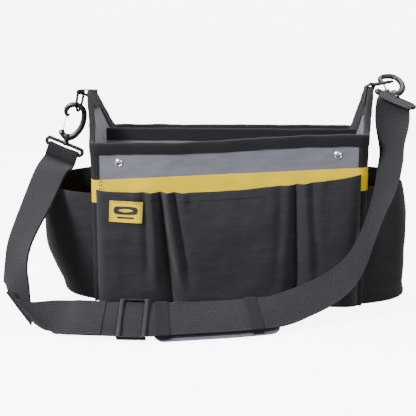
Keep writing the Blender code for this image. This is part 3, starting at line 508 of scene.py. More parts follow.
def tube(name, points, radius, closed=False, sides=14, flat=1.0, plane=None, blunt=False):
    """Round or flattened bar along points; 'radius' may be a list. 'plane' is the normal of a flat path."""
    count = len(points)
    radii = radius if isinstance(radius, (list, tuple)) else [radius] * count
    rings, normal = [], None
    for i, point in enumerate(points):
        ahead = points[(i + 1) % count] if closed or i + 1 < count else point
        behind = points[i - 1] if closed or i else point
        run = (ahead - behind).normalized()
        if plane is not None:
            side = plane.normalized()
            normal = side.cross(run).normalized()
        else:
            if normal is None:
                normal = run.orthogonal().normalized()
            normal = (normal - run * normal.dot(run)).normalized()
            side = run.cross(normal)
        rings.append((point, normal, side, radii[i], run))
    if not closed and blunt:
        caps = [(0.35, 0.80), (0.75, 0.55)]

        def cap(ring, sense):
            point, normal, side, r, run = ring
            return [(point + run * (sense * r * a), normal, side, r * b, run) for a, b in caps]

        rings = cap(rings[0], -1)[::-1] + rings + cap(rings[-1], 1)
    verts, faces = [], []
    for point, normal, side, r, _ in rings:
        for k in range(sides):
            angle = 2 * math.pi * k / sides
            verts.append(point + normal * (r * math.cos(angle)) + side * (r * flat * math.sin(angle)))
    total = len(rings)
    for i in range(total if closed else total - 1):
        for k in range(sides):
            a, b = i * sides, ((i + 1) % total) * sides
            faces.append((a + k, a + (k + 1) % sides, b + (k + 1) % sides, b + k))
    if not closed:
        faces.append(tuple(reversed(range(sides))))
        faces.append(tuple(range((total - 1) * sides, total * sides)))
    return build(name, verts, faces)


def turned(name, profile, matrix, steps=32):
    """Solid of revolution about the matrix's Z from (radius, height) pairs, its ends on the axis."""
    verts = [matrix @ Vector((0, 0, profile[0][1]))]
    faces = []
    inner = profile[1:-1]
    for r, z in inner:
        for k in range(steps):
            angle = 2 * math.pi * k / steps
            verts.append(matrix @ Vector((r * math.cos(angle), r * math.sin(angle), z)))
    verts.append(matrix @ Vector((0, 0, profile[-1][1])))
    last = len(verts) - 1
    for k in range(steps):
        n = (k + 1) % steps
        faces.append((0, 1 + n, 1 + k))
        faces.append((last, last - steps + k, last - steps + n))
        for i in range(len(inner) - 1):
            a, b = 1 + i * steps, 1 + (i + 1) * steps
            faces.append((a + k, a + n, b + n, b + k))
    return build(name, verts, faces)


def bar(name, matrix, centre, size, bevel):
    """Moulded bar with rounded edges."""
    form = bmesh.new()
    bmesh.ops.create_cube(form, size=1.0)
    bmesh.ops.transform(form, matrix=Matrix.Translation(centre) @ Matrix.Diagonal((*size, 1)), verts=form.verts)
    bmesh.ops.bevel(form, geom=form.edges, offset=bevel, segments=3, affect="EDGES")
    bmesh.ops.transform(form, matrix=matrix, verts=form.verts)
    return keep(name, form)


# --------------------------------------------------------------- bag walls

def front_rim(x):
    return RIM - RIM_SAG / (1.0 + math.exp((x - 0.03) / 0.05))


def gable_top(side, y):
    shoulder = front_rim(side * LENGTH / 2) if y < 0 else RIM
    fall = clamp((abs(y) - PEAK_HALF) / (FLAT - PEAK_HALF))
    return PEAK[side] + (shoulder - PEAK[side]) * (0.35 * ease(fall) + 0.65 * fall)


def band_top(x, y):
    back = clamp(y / DEPTH + 0.5)
    return (0.1975 + 0.056 * x) * (1 - back) + 0.200 * back


def band_low(x, y):
    return band_top(x, y) - BAND_HEIGHT


def hem_height(x):
    return 0.1745 + 0.067 * x + 0.30 * x * x


def lean(side, y, z):
    rise = max(0.0, z - LEAN_START) / (PEAK[side] - LEAN_START)
    return LEAN[side] * rise * max(0.0, 1.0 - (2.0 * y / DEPTH) ** 2)


def plan_at(wall, a):
    """Base plan point and outward direction; 'a' runs from -1 to 1, left to right seen from outside."""
    if wall in ("front", "rear"):
        face = -1 if wall == "front" else 1
        return Vector((-face * a * (LENGTH / 2 - CORNER), face * DEPTH / 2)), Vector((0.0, face))
    side = 1 if wall == "right" else -1
    run = a * END_HALF
    if abs(run) <= FLAT:
        point, out = Vector((LENGTH / 2, run)), Vector((1.0, 0.0))
    else:
        angle = math.copysign((abs(run) - FLAT) / CORNER, run)
        out = Vector((math.cos(angle), math.sin(angle)))
        point = Vector((LENGTH / 2 - CORNER, math.copysign(FLAT, run))) + out * CORNER
    return point * side, out * side


def top_at(wall, a):
    """Height of the wall's edge, with the unevenness of sewn cloth."""
    (x, y), _ = plan_at(wall, a)
    if wall == "front":
        top = front_rim(x)
    elif wall == "rear":
        top = RIM
    else:
        top = gable_top(1 if wall == "right" else -1, y)
    return top + 0.0014 * ripple(x, y, 0.0, 0.050, 5.0) + 0.0006 * ripple(x, y, 0.0, 0.018, 9.0)


def wall_at(wall, a, z, out):
    """Point on a wall, 'out' metres proud of its outer face; every layer shares the same waves."""
    (x, y), away = plan_at(wall, a)
    wave = 0.0024 * ripple(x, y, z, 0.075, 1.0) + 0.0009 * ripple(x, y, z, 0.028, 4.0)
    wave += 0.0007 * ripple(x + 0.6 * z, y, z - 0.3 * x, 0.017, 6.0)
    calm = ease((z - 0.02) / 0.06) * (0.35 + 0.65 * ease((1 - abs(a)) / 0.25))
    shift = away * (out + wave * calm)
    if wall in ("left", "right"):
        side = 1 if wall == "right" else -1
        shift.x += side * lean(side, y, z)
    return Vector((x + shift.x, y + shift.y, z))


def steps(low, high, count):
    return [low + (high - low) * i / count for i in range(count + 1)]


WALLS = ("front", "right", "rear", "left")
WALL_STEPS = {"front": 90, "rear": 90, "left": 56, "right": 56}


def wall_panel(name, wall, out, material, slot, node, thickness=FABRIC):
    columns = []
    for a in steps(-1, 1, WALL_STEPS[wall]):
        top = top_at(wall, a)
        columns.append([wall_at(wall, a, z, out) for z in steps(0.0015, top, 44)])
    obj = grid(name, columns, thickness=thickness, offset=-1)
    finish(obj, material, "bag", slot, node)


def wall_board(wall):
    """Stiffener between cloth and lining, bent with them."""
    columns = [[wall_at(wall, a, z, -0.0015) for z in steps(0.004, top_at(wall, a) - 0.003, 30)]
               for a in steps(-0.985, 0.985, WALL_STEPS[wall])]
    finish(grid("stiff_" + wall, columns, thickness=0.0014, offset=-1), BOARD, "bag", "stiffener_board",
           wall + "_board")


wall_panel("front_cloth", "front", 0.0, GREY_CANVAS, "grey_fabric", "front_panel")
wall_panel("rear_cloth", "rear", 0.0, GREY_CANVAS, "grey_fabric", "rear_panel")
wall_panel("left_end_cloth", "left", 0.0, BLACK_CANVAS, "black_fabric", "left_end_panel")
wall_panel("right_end_cloth", "right", 0.0, BLACK_CANVAS, "black_fabric", "right_end_panel")


for wall in WALLS:
    wall_board(wall)


def ring_columns(out, low, high, rows):
    """Columns round the whole bag; 'low' and 'high' give heights from a wall and a place on it."""
    columns = []
    for wall in WALLS:
        for a in steps(-1, 1, WALL_STEPS[wall])[:-1]:
            columns.append([wall_at(wall, a, z, out) for z in steps(low(wall, a), high(wall, a), rows)])
    return columns


def lining():
    """Inner cloth of the four walls, and the floor."""
    round_columns = ring_columns(-STACK + 0.001, lambda w, a: FLOOR_TOP - 0.001,
                                 lambda w, a: top_at(w, a) - 0.001, 40)
    walls = grid("walls", round_columns, closed=True, thickness=0.001, offset=-1)
    inset = 0.0050
    sheet = [[(x * (LENGTH / 2 - inset), y * (DEPTH / 2 - inset),
               FLOOR_TOP + 0.0008 * ripple(x * (LENGTH / 2 - inset), y * (DEPTH / 2 - inset), 0, 0.05, 3.0)
               * (1 - x ** 8) * (1 - y ** 8)) for y in steps(-1, 1, 30)] for x in steps(-1, 1, 60)]
    floor = grid("floor", sheet, thickness=0.0012, offset=-1)
    finish(join("lining", [walls, floor]), GREY_CANVAS, "bag", "grey_fabric", "liner")


lining()

# Binding folded over an edge: metres proud of the outer face, and height above the edge
TAPE_FOLD = [(0.0005, -1.0), (0.0011, -0.94), (0.0015, -0.72), (0.0017, -0.45), (0.0017, -0.2), (0.0013, 0.02),
             (0.0002, 0.13), (-STACK / 2, 0.17)]
TAPE_FOLD += [(-STACK - out, rise) for out, rise in reversed(TAPE_FOLD[:-1])]
INNER_REACH = 2.6  # the right gable's facing inside is a wide one


def binding(name, wall, node):
    """Tape over the rim, puckered by its seam."""
    profile = smooth([Vector((o, r, 0)) for o, r in TAPE_FOLD], 3)
    columns = []
    for a in steps(-1, 1, WALL_STEPS[wall] * 2):
        (x, y), _ = plan_at(wall, a)
        top = top_at(wall, a)
        if wall in ("left", "right"):
            slope = (top_at(wall, a + 0.01) - top_at(wall, a - 0.01)) / (0.02 * END_HALF)
            leg = TAPE_LEG * min(1.3, math.sqrt(1 + slope * slope)) * 0.92
        else:
            leg = TAPE_LEG * 0.84
        leg *= 1 + 0.05 * ripple(x, y, 0, 0.03, 12.0)
        pucker = 0.00045 * ripple(x, y, top, 0.007, 8.0)
        column = []
        for out, rise, _ in profile:
            puff = pucker * (1 - abs(rise)) if rise < 0 else 0.0
            reach = leg * (INNER_REACH if wall == "right" and out < -STACK / 2 else 1)
            z = top + (rise * reach if rise < 0 else rise * TAPE_LEG * 0.85)
            column.append(wall_at(wall, a, z, out + (puff if out > -STACK / 2 else -puff)))
        columns.append(column)
    obj = grid(name, columns, thickness=0.0007, offset=1, wear=(0.25, 0.25, 0, 0), edge=0.0015)
    finish(obj, BINDING, "bag", "black_tape", node)


for wall in WALLS:
    binding("binding_" + wall, wall, "rim_binding_" + wall)


def wall_line(wall, drop, out, start=-1.0, stop=1.0, count=120, level=None):
    """Points along a wall at a depth below its edge, or at a level."""
    return [wall_at(wall, a, (level(*plan_at(wall, a)[0]) if level else top_at(wall, a)) - drop, out)
            for a in steps(start, stop, count)]


def corner_tape(name, wall, sign, node):
    """Tape down one corner of an end wall, from the rim binding to the base."""
    middle = sign * (FLAT + ARC / 2) / END_HALF
    half = (ARC / 2 + 0.001) / END_HALF
    columns = []
    for a in steps(middle - half, middle + half, 12):
        edge = 1 - abs(a - middle) / half
        out = 0.0004 + 0.0008 * min(1.0, edge * 5)
        top = top_at(wall, clamp_to(a)) - TAPE_LEG * 0.9
        columns.append([wall_at(wall, clamp_to(a), z, out) for z in steps(0.0015, top, 60)])
    obj = grid(name, columns, thickness=0.0006, offset=1, wear=(0.4, 0, 0.2, 0.2), edge=0.002)
    finish(obj, BINDING, "bag", "black_tape", node)


def clamp_to(a, limit=1.0):
    return max(-limit, min(limit, a))


corner_tape("corner_front_right", "right", -1, "corner_tape_front_right")
corner_tape("corner_rear_right", "right", 1, "corner_tape_rear_right")
corner_tape("corner_rear_left", "left", -1, "corner_tape_rear_left")
corner_tape("corner_front_left", "left", 1, "corner_tape_front_left")


def level_of(heights):
    return lambda wall, a: heights(*plan_at(wall, a)[0])


band = grid("band", ring_columns(0.0017, level_of(band_low), level_of(band_top), 12), closed=True,
            thickness=0.0009, offset=1, wear=(0.2, 0.5, 0, 0), edge=0.0015)
finish(band, YELLOW_TAPE, "bag", "yellow_tape", "yellow_band")


def divider():
    """Padded sheet down the middle, and tape folded over its edge."""
    half = LENGTH / 2 - STACK - 0.001
    side, crest = 0.0021, 0.0024

    def middle(x, z):
        return -0.0010 * ripple(x, 0, z, 0.07, 6.0) * (1 - (x / half) ** 6)

    def top_of(x):
        return DIVIDER_TOP - 0.002 + 0.0012 * ripple(x, 0, 0, 0.06, 2.0) * (1 - (x / half) ** 6)

    sheet = [[(x, 0.0012 + middle(x, z), z) for z in steps(FLOOR_TOP + 0.002, top_of(x), 24)]
             for x in steps(-half, half, 80)]
    folds = []
    for x in steps(-half, half, 160):
        top = top_of(x)
        mid = middle(x, top)
        legs = [(x, mid - side, top - TAPE_LEG * k) for k in (1.0, 0.75, 0.5, 0.25)]
        arch = [(x, mid + crest * math.sin(turn), top + 0.0022 * math.cos(turn))
                for turn in steps(-math.pi / 2, math.pi / 2, 14)]
        folds.append(legs + arch + [(x, mid + side, z) for _, _, z in reversed(legs)])
    finish(grid("divider_cloth", sheet, thickness=0.0024, offset=1), GREY_CANVAS, "bag", "grey_fabric",
           "divider_panel")
    finish(grid("divider_tape", folds, thickness=0.0007, offset=1), BINDING, "bag", "black_tape",
           "divider_binding")


divider()


def base():
    reach = Vector((LENGTH / 2 - 0.0005, DEPTH / 2 - 0.0005))
    sheet = [[(x * reach.x, y * reach.y, 0.0) for y in steps(-1, 1, 20)] for x in steps(-1, 1, 40)]
    finish(grid("base_cloth", sheet, thickness=0.0013, offset=1), BLACK_CANVAS, "bag", "black_fabric",
           "base_panel")


base()


# ----------------------------------------------------------------- pockets

FRONT_ROWS = [(0.0, 0.0), (0.012, 0.62), (0.10, 0.92), (0.32, 1.0), (0.62, 0.95), (0.85, 0.72), (1.0, 0.5)]
LEFT_ROWS = [(0.0, 0.0), (0.012, 0.56), (0.14, 0.70), (0.30, 0.86), (0.44, 0.97), (0.62, 1.0), (0.86, 0.95),
             (1.0, 0.76)]
RIGHT_ROWS = [(0.0, 0.0), (0.012, 0.94), (0.14, 1.0), (0.38, 1.0), (0.62, 0.99), (0.85, 0.94), (1.0, 0.86)]
HEM = 0.0125


class Pocket:
    """A pouch sewn to a wall along its sides and bottom; 'turn' is the wall's direction in degrees."""

    def __init__(self, name, turn, left, right, hem, depth, rows, power, creases, seed, pleats=(0, 0),
                 tuck=0.0):
        self.name = name
        self.spin = Matrix.Rotation(math.radians(turn), 3, "Z")
        reach = DEPTH / 2 if turn % 180 == 0 else LENGTH / 2
        self.wall = reach + 0.0028
        self.left, self.right, self.hem = left, right, hem
        self.depth, self.power, self.creases, self.seed, self.pleats = depth, power, creases, seed, pleats
        self.tuck = tuck
        self.rows = smooth([Vector((h, d, 0)) for h, d in rows], 10)

    def share(self, height):
        """How far out the pouch stands at a share of its height."""
        for (h0, d0, _), (h1, d1, _) in zip(self.rows, self.rows[1:]):
            if h0 <= height <= h1 and h1 > h0:
                return d0 + (d1 - d0) * (height - h0) / (h1 - h0)
        return self.rows[-1].y

    def point(self, u, height, lift=0.0):
        along = self.left(0.1) + u * (self.right(0.1) - self.left(0.1))
        rim = self.hem(along) + 0.0012 * ripple(along, self.seed, 0, 0.045, self.seed)
        z = POCKET_FLOOR + (rim - POCKET_FLOOR) * height
        along = self.left(z) + u * (self.right(z) - self.left(z))
        bulge = 1.0 - abs(2.0 * u - 1.0) ** self.power
        calm = bulge * min(1.0, height * 8)
        out = self.depth * self.share(height) * bulge
        for size, deep in self.creases:
            out += deep * calm * ripple(along, 0, z * 0.6, size, self.seed)
        out += self.gather(u, height, z)
        if (1 - height) * (rim - POCKET_FLOOR) < HEM:
            out += 0.0005
        sewn = self.tuck * (1 - ease(bulge * 4))
        return self.spin @ Vector((along, -(self.wall + max(0.0, out) + lift - sewn), z))

    def gather(self, u, height, z):
        """A soft pleat beside a side seam, fanning out as it falls, and the puckers it sends into the hem."""
        deep = 0.0
        for at, sense, size in ((0.0, 1, self.pleats[0]), (1.0, -1, self.pleats[1])):
            inward = (u - at) * sense * (self.right(z) - self.left(z)) - 0.012 * (1 - height) ** 1.5
            wide = 0.0050 + 0.0035 * (1 - height)
            deep += size * math.exp(-((inward - 0.011) / wide) ** 2) * ease(height * 2.0)
            deep -= 0.8 * size * math.exp(-((inward - 0.023) / wide) ** 2) * ease(height * 2.0)
            deep += 0.5 * size * ease((height - 0.82) / 0.15) * math.exp(-((inward - 0.036) / 0.006) ** 2)
        return deep

    def make(self, columns, node):
        heights = [h for h, _, _ in self.rows if h < 0.90]
        drop = HEM / (self.hem(0) - POCKET_FLOOR)
        heights += [0.905, 1 - drop - 0.002, 1 - drop + 0.002]
        heights += [1 - drop * part for part in (0.75, 0.5, 0.25, 0.0)]
        made = [[self.point(u, h) for h in heights] for u in steps(0, 1, columns)]
        obj = grid(self.name, made, thickness=FABRIC, offset=1, wear=(0.5, 0.5, 0, 0), edge=0.002)
        finish(obj, BLACK_CANVAS, "bag", "black_fabric", node)

    def hem_lines(self):
        total = self.hem(0) - POCKET_FLOOR
        return [[self.point(u, 1 - drop / total, FABRIC + 0.0002) for u in steps(0.01, 0.99, 90)]
                for drop in (0.0035, 0.0112)]


def left_fold(z):
    return -0.0808 - 0.108 * z


def right_fold(z):
    return 0.1050 - 0.020 * z


def pockets():
    edge = LENGTH / 2 - CORNER + 0.003
    split = 0.0003
    small = [(0.070, 0.0055), (0.030, 0.0022), (0.014, 0.0007)]
    plan = {"left": (lambda z: -edge, lambda z: left_fold(z) - split, 0.020, (0, 0.0060)),
            "centre": (lambda z: left_fold(z) + split, lambda z: right_fold(z) - split, 0.024,
                       (0.0090, 0.0030)),
            "right": (lambda z: right_fold(z) + split, lambda z: edge, 0.020, (0.0045, 0))}
    made = []
    for i, (place, (left, right, depth, pleats)) in enumerate(plan.items()):
        for wall, turn, hem in (("front", 0, hem_height), ("rear", 180, lambda a: 0.180)):
            name = "%s_pocket_%s" % (wall, place)
            pouch = Pocket("pouch_%s_%s" % (wall, place), turn, left, right, hem, depth, FRONT_ROWS, 6, small,
                           3.0 + i + turn, pleats)
            pouch.make(110, name)
            made.append(pouch)
    reach = DEPTH / 2 - CORNER + 0.002
    big = [(0.085, 0.0055), (0.035, 0.0026), (0.016, 0.0008)]
    for side, turn, depth, rows, hem in (("left", 270, 0.087, LEFT_ROWS, lambda a: 0.176 - 0.12 * a),
                                         ("right", 90, 0.066, RIGHT_ROWS, lambda a: 0.184 + 0.05 * a)):
        pouch = Pocket("pouch_%s_end" % side, turn, lambda z: -reach, lambda z: reach, hem, depth, rows, 5, big,
                       20.0 + turn / 90, tuck=0.0024)
        pouch.make(90, side + "_end_pocket")
        made.append(pouch)
    return made


POUCHES = pockets()
LABEL_POCKET = POUCHES[0]


def label():
    """Rubber patch with a raised border and a plain trowel mark."""
    width, height, tilt = 0.048, 0.031, math.radians(3)
    pocket = LABEL_POCKET

    def at(a, b, lift):
        x = -0.148 + a * math.cos(tilt) + b * math.sin(tilt)
        z = 0.1425 - a * math.sin(tilt) + b * math.cos(tilt)
        u = (x - pocket.left(z)) / (pocket.right(z) - pocket.left(z))
        return pocket.point(u, (z - POCKET_FLOOR) / (pocket.hem(x) - POCKET_FLOOR), FABRIC + lift)

    columns = []
    for i in steps(-1, 1, 48):
        column = []
        for j in steps(-1, 1, 32):
            rim = max(abs(i) * width - width + 0.0052, abs(j) * height - height + 0.0052) / 0.0022
            column.append(at(i * width / 2, j * height / 2, 0.0004 + 0.0005 * ease(rim)))
        columns.append(column)
    obj = grid("label_patch", columns, thickness=0.0009, offset=1)
    finish(obj, PATCH, "bag", "yellow_patch", "label")

    def blob(name, cx, cy, hx, hy, power, material):
        cells = []
        for i in steps(-1, 1, 28):
            lim = (1 - min(1.0, abs(i)) ** power) ** (1 / power)
            cells.append([at(cx + i * hx, cy + j * hy * max(lim, 0.02), 0.0014) for j in steps(-1, 1, 10)])
        return finish(grid(name, cells, thickness=0.0005, offset=1), material, "bag", "yellow_patch")

    blob("label_mark", 0.0, 0.0022, 0.0180, 0.0060, 4, PATCH_MARK)
    blob("label_bar", 0.0, -0.0085, 0.0130, 0.0013, 6, PATCH_MARK)
    inner = []
    for i in steps(-1, 1, 28):
        taper = max(0.03, math.sin(math.pi * (i + 1) / 2)) ** 0.8
        inner.append([at(i * 0.0110, 0.0022 + j * 0.0024 * taper, 0.0020) for j in steps(-1, 1, 6)])
    finish(grid("label_leaf", inner, thickness=0.0003, offset=1), PATCH, "bag", "yellow_patch")
    along, up = steps(-1, 1, 20), steps(-1, 1, 12)
    edge = ([(a, -1) for a in along[:-1]] + [(1, b) for b in up[:-1]] + [(a, 1) for a in along[:0:-1]]
            + [(-1, b) for b in reversed(up)])
    return [[at(a * (width / 2 - 0.0018), b * (height / 2 - 0.0018), 0.0017) for a, b in edge]]


label_rows = label()


def rivets():
    """Domed rivets with a rolled edge, and washers inside."""
    for place, face in (("front", -1), ("rear", 1)):
        for hand in ("left", "right"):
            low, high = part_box("rivet_%s_%s" % (place, hand))
            x, z = (low.x + high.x) / 2, (low.z + high.z) / 2
            a = -face * x / (LENGTH / 2 - CORNER)
            seat = wall_at(place, a, z, 0.0)
            turn = Matrix.Rotation(math.radians(90 if face < 0 else -90), 4, "X")
            at = Matrix.Translation(seat) @ turn
            dome = [(0.0, 0.0027), (0.0014, 0.0026), (0.0030, 0.0022), (0.0044, 0.0014), (0.0049, 0.0010),
                    (0.0055, 0.0013), (0.0061, 0.0009), (0.0063, 0.0002), (0.0058, -0.0004), (0.0, -0.0004)]
            finish(turned("rivet_head_%s_%s" % (place, hand), dome, at, 40), SILVER, "bag", "silver_metal",
                   "rivet_%s_%s" % (place, hand), sharp=60)
            inside = -STACK
            washer = [(0.0, inside - 0.0016), (0.0016, inside - 0.0016), (0.0022, inside - 0.0010),
                      (0.0054, inside - 0.0010), (0.0060, inside - 0.0006), (0.0060, inside), (0.0, inside)]
            finish(turned("washer_disc_%s_%s" % (place, hand), washer, at, 36), SILVER, "bag", "silver_metal",
                   "washer_%s_%s" % (place, hand), sharp=60)


rivets()

# ------------------------------------------------------------------- clips

RING_R, RING_HALF, RING_DROP = 0.0020, 0.0205, 0.031
EYE_R, EYE_HALF, EYE_TOP, EYE_BAR = 0.0030, 0.0305, -0.0560, -0.0660
SWIVEL_X = -0.009
PIN_AT = (-0.0193, -0.0394)
CLIPS = {
    -1: {"name": "left", "bar": (-0.2376, 0.0, 0.3142), "hang": (-0.2433, 0.0, 0.2838),
         "up": (0.225, 0.0, 0.974), "across": (1.0, 0.0, 0.0), "tilt": 9.0, "wrap": (100, -80),
         "spin": 0.0, "seat": (0.0, 0.0, 0.0)},
    1: {"name": "right", "bar": (0.2196, 0.0, 0.3255), "hang": (0.2502, 0.0, 0.3307),
        "up": (-0.166, 0.857, 0.488), "across": (0.9, 0.0, -0.09), "tilt": 24.0, "wrap": (165, -5),
        "spin": 14.0, "seat": (0.0015, 0.0006, 0.0082)},
}
HOOK_LINE = [(-0.0128, -0.0088, 0.0019), (-0.0155, -0.0105, 0.0026), (-0.0183, -0.0075, 0.0032),
             (-0.0190, -0.0020, 0.0038), (-0.0150, 0.0050, 0.0042), (-0.0070, 0.0085, 0.0043),
             (0.0020, 0.0080, 0.0043), (0.0088, 0.0025, 0.0044), (0.0115, -0.0070, 0.0045),
             (0.0115, -0.0180, 0.0046), (0.0085, -0.0290, 0.0048), (0.0020, -0.0395, 0.0050),
             (-0.0060, -0.0450, 0.0052), (-0.0140, -0.0445, 0.0048), (-0.0170, -0.0420, 0.0044)]


def frame_from(origin, up, across):
    z = Vector(up).normalized()
    x = Vector(across)
    x = (x - z * x.dot(z)).normalized()
    return Matrix.Translation(origin) @ Matrix((x, z.cross(x), z)).transposed().to_4x4()


def tab(side, clip):
    """Webbing sewn over the gable's tip, holding the ring's bar."""
    peak = PEAK[side]
    out, high = abs(clip["bar"][0]), clip["bar"][2]
    turn = RING_R + 0.00095
    clear = 0.0024
    start, stop = clip["wrap"]
    columns = []
    for y in steps(-PEAK_HALF, PEAK_HALF, 14):
        def face(z, inset):
            return LENGTH / 2 - inset + lean(side, y, z)

        path = [(face(z, STACK + clear), z) for z in (peak - 0.024, peak - 0.017, peak - 0.010, peak - 0.001)]
        path.append((face(peak, STACK + clear) + 0.0008, peak + clear + 0.0010))
        for i in range(13):
            angle = math.radians(start + (stop - start) * i / 12)
            path.append((out + turn * math.cos(angle), high + turn * math.sin(angle)))
        path += [(face(z, -clear), z) for z in (peak - 0.006, peak - 0.014, peak - 0.024)]
        column = smooth([Vector((side * x, y * side, z)) for x, z in path], 3)
        columns.append(column)
    obj = grid(clip["name"] + "_tab_loop", columns, thickness=0.0013, offset=0, wear=(0.3, 0.3, 0.2, 0.2),
               edge=0.002)
    finish(obj, STRAPPING, "bag", "webbing", clip["name"] + "_tab")
    rows = []
    for inset in (-clear - 0.0009, STACK + clear + 0.0009):
        rows += [[Vector((side * (LENGTH / 2 - inset + lean(side, y, z)), y, z))
                  for y in steps(-0.015, 0.015, 12)] for z in (peak - 0.021, peak - 0.012)]
    return rows


def d_ring(clip, body):
    bar_at = Vector(clip["bar"])
    down = (Vector(clip["hang"]) - bar_at).normalized()
    points = []
    for i in range(17):
        angle = math.pi * i / 16
        points.append(bar_at + Vector((0, RING_HALF * math.cos(angle), 0))
                      + down * (0.008 + (RING_DROP - 0.008) * math.sin(angle)))
    for y, drop in ((-RING_HALF, 0.002), (-RING_HALF + 0.0015, 0.0), (0.0, 0.0), (RING_HALF - 0.0015, 0.0),
                    (RING_HALF, 0.002)):
        points.append(bar_at + Vector((0, y, 0)) + down * drop)
    plane = Vector((0, 1, 0)).cross(down)
    obj = tube(clip["name"] + "_d_ring", smooth(points, 5, True), RING_R, closed=True, sides=18, plane=plane)
    finish(obj, BLACK_STEEL, body, "black_metal", clip["name"] + "_ring", sharp=80)


def hook_body(clip, place, body):
    """Moulded hook with two cheeks for the gate's pin and a collar for the swivel."""
    name = clip["name"]
    line = smooth([Vector((x, 0, z)) for x, z, _ in HOOK_LINE], 5)
    radii = [p.x for p in smooth([Vector((r, 0, 0)) for _, _, r in HOOK_LINE], 5)]
    plane = (place.to_3x3() @ Vector((0, 1, 0)))
    shells = [tube("bend", [place @ p for p in line], radii, sides=20, flat=0.86, plane=plane, blunt=True)]
    pin = Matrix.Translation((PIN_AT[0], 0, PIN_AT[1]))
    face = Matrix.Rotation(math.radians(90), 4, "X")
    for y in (-1, 1):
        disc = [(0, 0.0012), (0.0030, 0.0012), (0.0042, 0.0006), (0.0044, -0.0004), (0.0042, -0.0012),
                (0, -0.0012)]
        shells.append(turned("cheek", disc, place @ Matrix.Translation((0, y * 0.0036, 0)) @ pin @ face, 24))
    neck = [(0, -0.0395), (0.0050, -0.0398), (0.0056, -0.0440), (0.0053, -0.0500), (0.0047, -0.0508),
            (0, -0.0508)]
    shells.append(turned("neck", neck, place @ Matrix.Translation((SWIVEL_X, 0, 0)), 28))
    rib = [place @ p for p in smooth([Vector((x, 0, z)) for x, z, _ in HOOK_LINE[4:11]], 5)]
    shells.append(tube("rib", rib, 0.0012, sides=10, flat=4.0, plane=plane))
    obj = fuse(join(name + "_hook_body", shells), 0.00042)
    finish(obj, HOOK_PLASTIC, body, "black_plastic", name + "_hook", sharp=80)
    pin_profile = [(0, 0.0058), (0.0013, 0.0057), (0.0019, 0.0053), (0.0019, 0.0048), (0.0014, 0.0047),
                   (0.0014, -0.0047), (0.0019, -0.0048), (0.0019, -0.0053), (0.0013, -0.0057), (0, -0.0058)]
    finish(turned(name + "_pin", pin_profile, place @ pin @ face, 20), SILVER, body, "silver_metal",
           name + "_gate_pin", sharp=60)


def gate_leaf(clip, place, body):
    """Sprung leaf with a rolled barrel and a turned tip."""
    name = clip["name"]
    x0, z0 = PIN_AT
    path = [(0.0016, 0.0006), (0.0019, 0.004), (0.0020, 0.012), (0.0021, 0.020), (0.0024, 0.0245),
            (0.0033, 0.0262)]
    line = smooth([Vector((x0 + x, 0, z0 + z)) for x, z in path], 6)
    plane = place.to_3x3() @ Vector((0, 1, 0))
    blade = tube("blade", [place @ p for p in line], 0.0006, sides=16, flat=3.0, plane=plane, blunt=True)
    barrel_profile = [(0, 0.0020), (0.0022, 0.0020), (0.0026, 0.0016), (0.0026, -0.0016), (0.0022, -0.0020),
                      (0, -0.0020)]
    barrel = turned("barrel", barrel_profile, place @ Matrix.Translation((x0, 0, z0))
                    @ Matrix.Rotation(math.radians(90), 4, "X"), 24)
    finish(join(name + "_gate_leaf", [blade, barrel]), BLACK_STEEL, body, "black_metal", name + "_gate",
           sharp=60)


def eye_frame(clip, place):
    neck = Matrix.Translation((SWIVEL_X, 0, -0.0530))
    spin = Matrix.Rotation(math.radians(clip["spin"]), 4, "Z")
    tilt = Matrix.Rotation(math.radians(clip["tilt"]), 4, "Y")
    return place @ neck @ spin @ tilt @ neck.inverted()


def swivel_eye(clip, place, body):
    eye = eye_frame(clip, place)
    rise, middle = (EYE_TOP - EYE_BAR) / 2, (EYE_TOP + EYE_BAR) / 2
    points = []
    for sign in (1, -1):
        for i in range(9):
            angle = math.radians(90 - 22.5 * i)
            points.append(Vector((SWIVEL_X + sign * (EYE_HALF - rise + rise * math.cos(angle)), 0,
                                  middle + sign * rise * math.sin(angle))))
    plane = eye.to_3x3() @ Vector((0, 1, 0))
    loop = tube("loop", [eye @ p for p in smooth(points, 4, True)], EYE_R, closed=True, sides=18, flat=0.92,
                plane=plane)
    at = place @ Matrix.Translation((SWIVEL_X, 0, 0))
    collar = turned("collar", [(0, -0.0470), (0.0020, -0.0470), (0.0020, -0.0512), (0.0040, -0.0514),
                               (0.0045, -0.0530), (0.0050, -0.0575), (0.0046, -0.0590), (0, -0.0590)], at, 28)
    obj = fuse(join(clip["name"] + "_eye", [loop, collar]), 0.00042)
    finish(obj, HOOK_PLASTIC, body, "black_plastic", clip["name"] + "_swivel_eye", sharp=80)


tab_rows = []
PLACES = {}
for side, clip in CLIPS.items():
    at = frame_from(clip["hang"], clip["up"], clip["across"]) @ Matrix.Translation(clip["seat"])
    PLACES[side] = at
    tab_rows += tab(side, clip)
    d_ring(clip, clip["name"] + "_clip")
    hook_body(clip, at, clip["name"] + "_hook_body")
    gate_leaf(clip, at, clip["name"] + "_gate_leaf")
    swivel_eye(clip, at, clip["name"] + "_clip")

# ------------------------------------------------------------------- strap

LEFT_RUN = [((-0.2785, -0.051, 0.1910), (-0.98, 0.10, 0.10)), ((-0.2860, -0.103, 0.1510), (-0.94, 0.25, 0.0)),
            ((-0.2960, -0.155, 0.1055), (-0.86, 0.42, -0.20))]
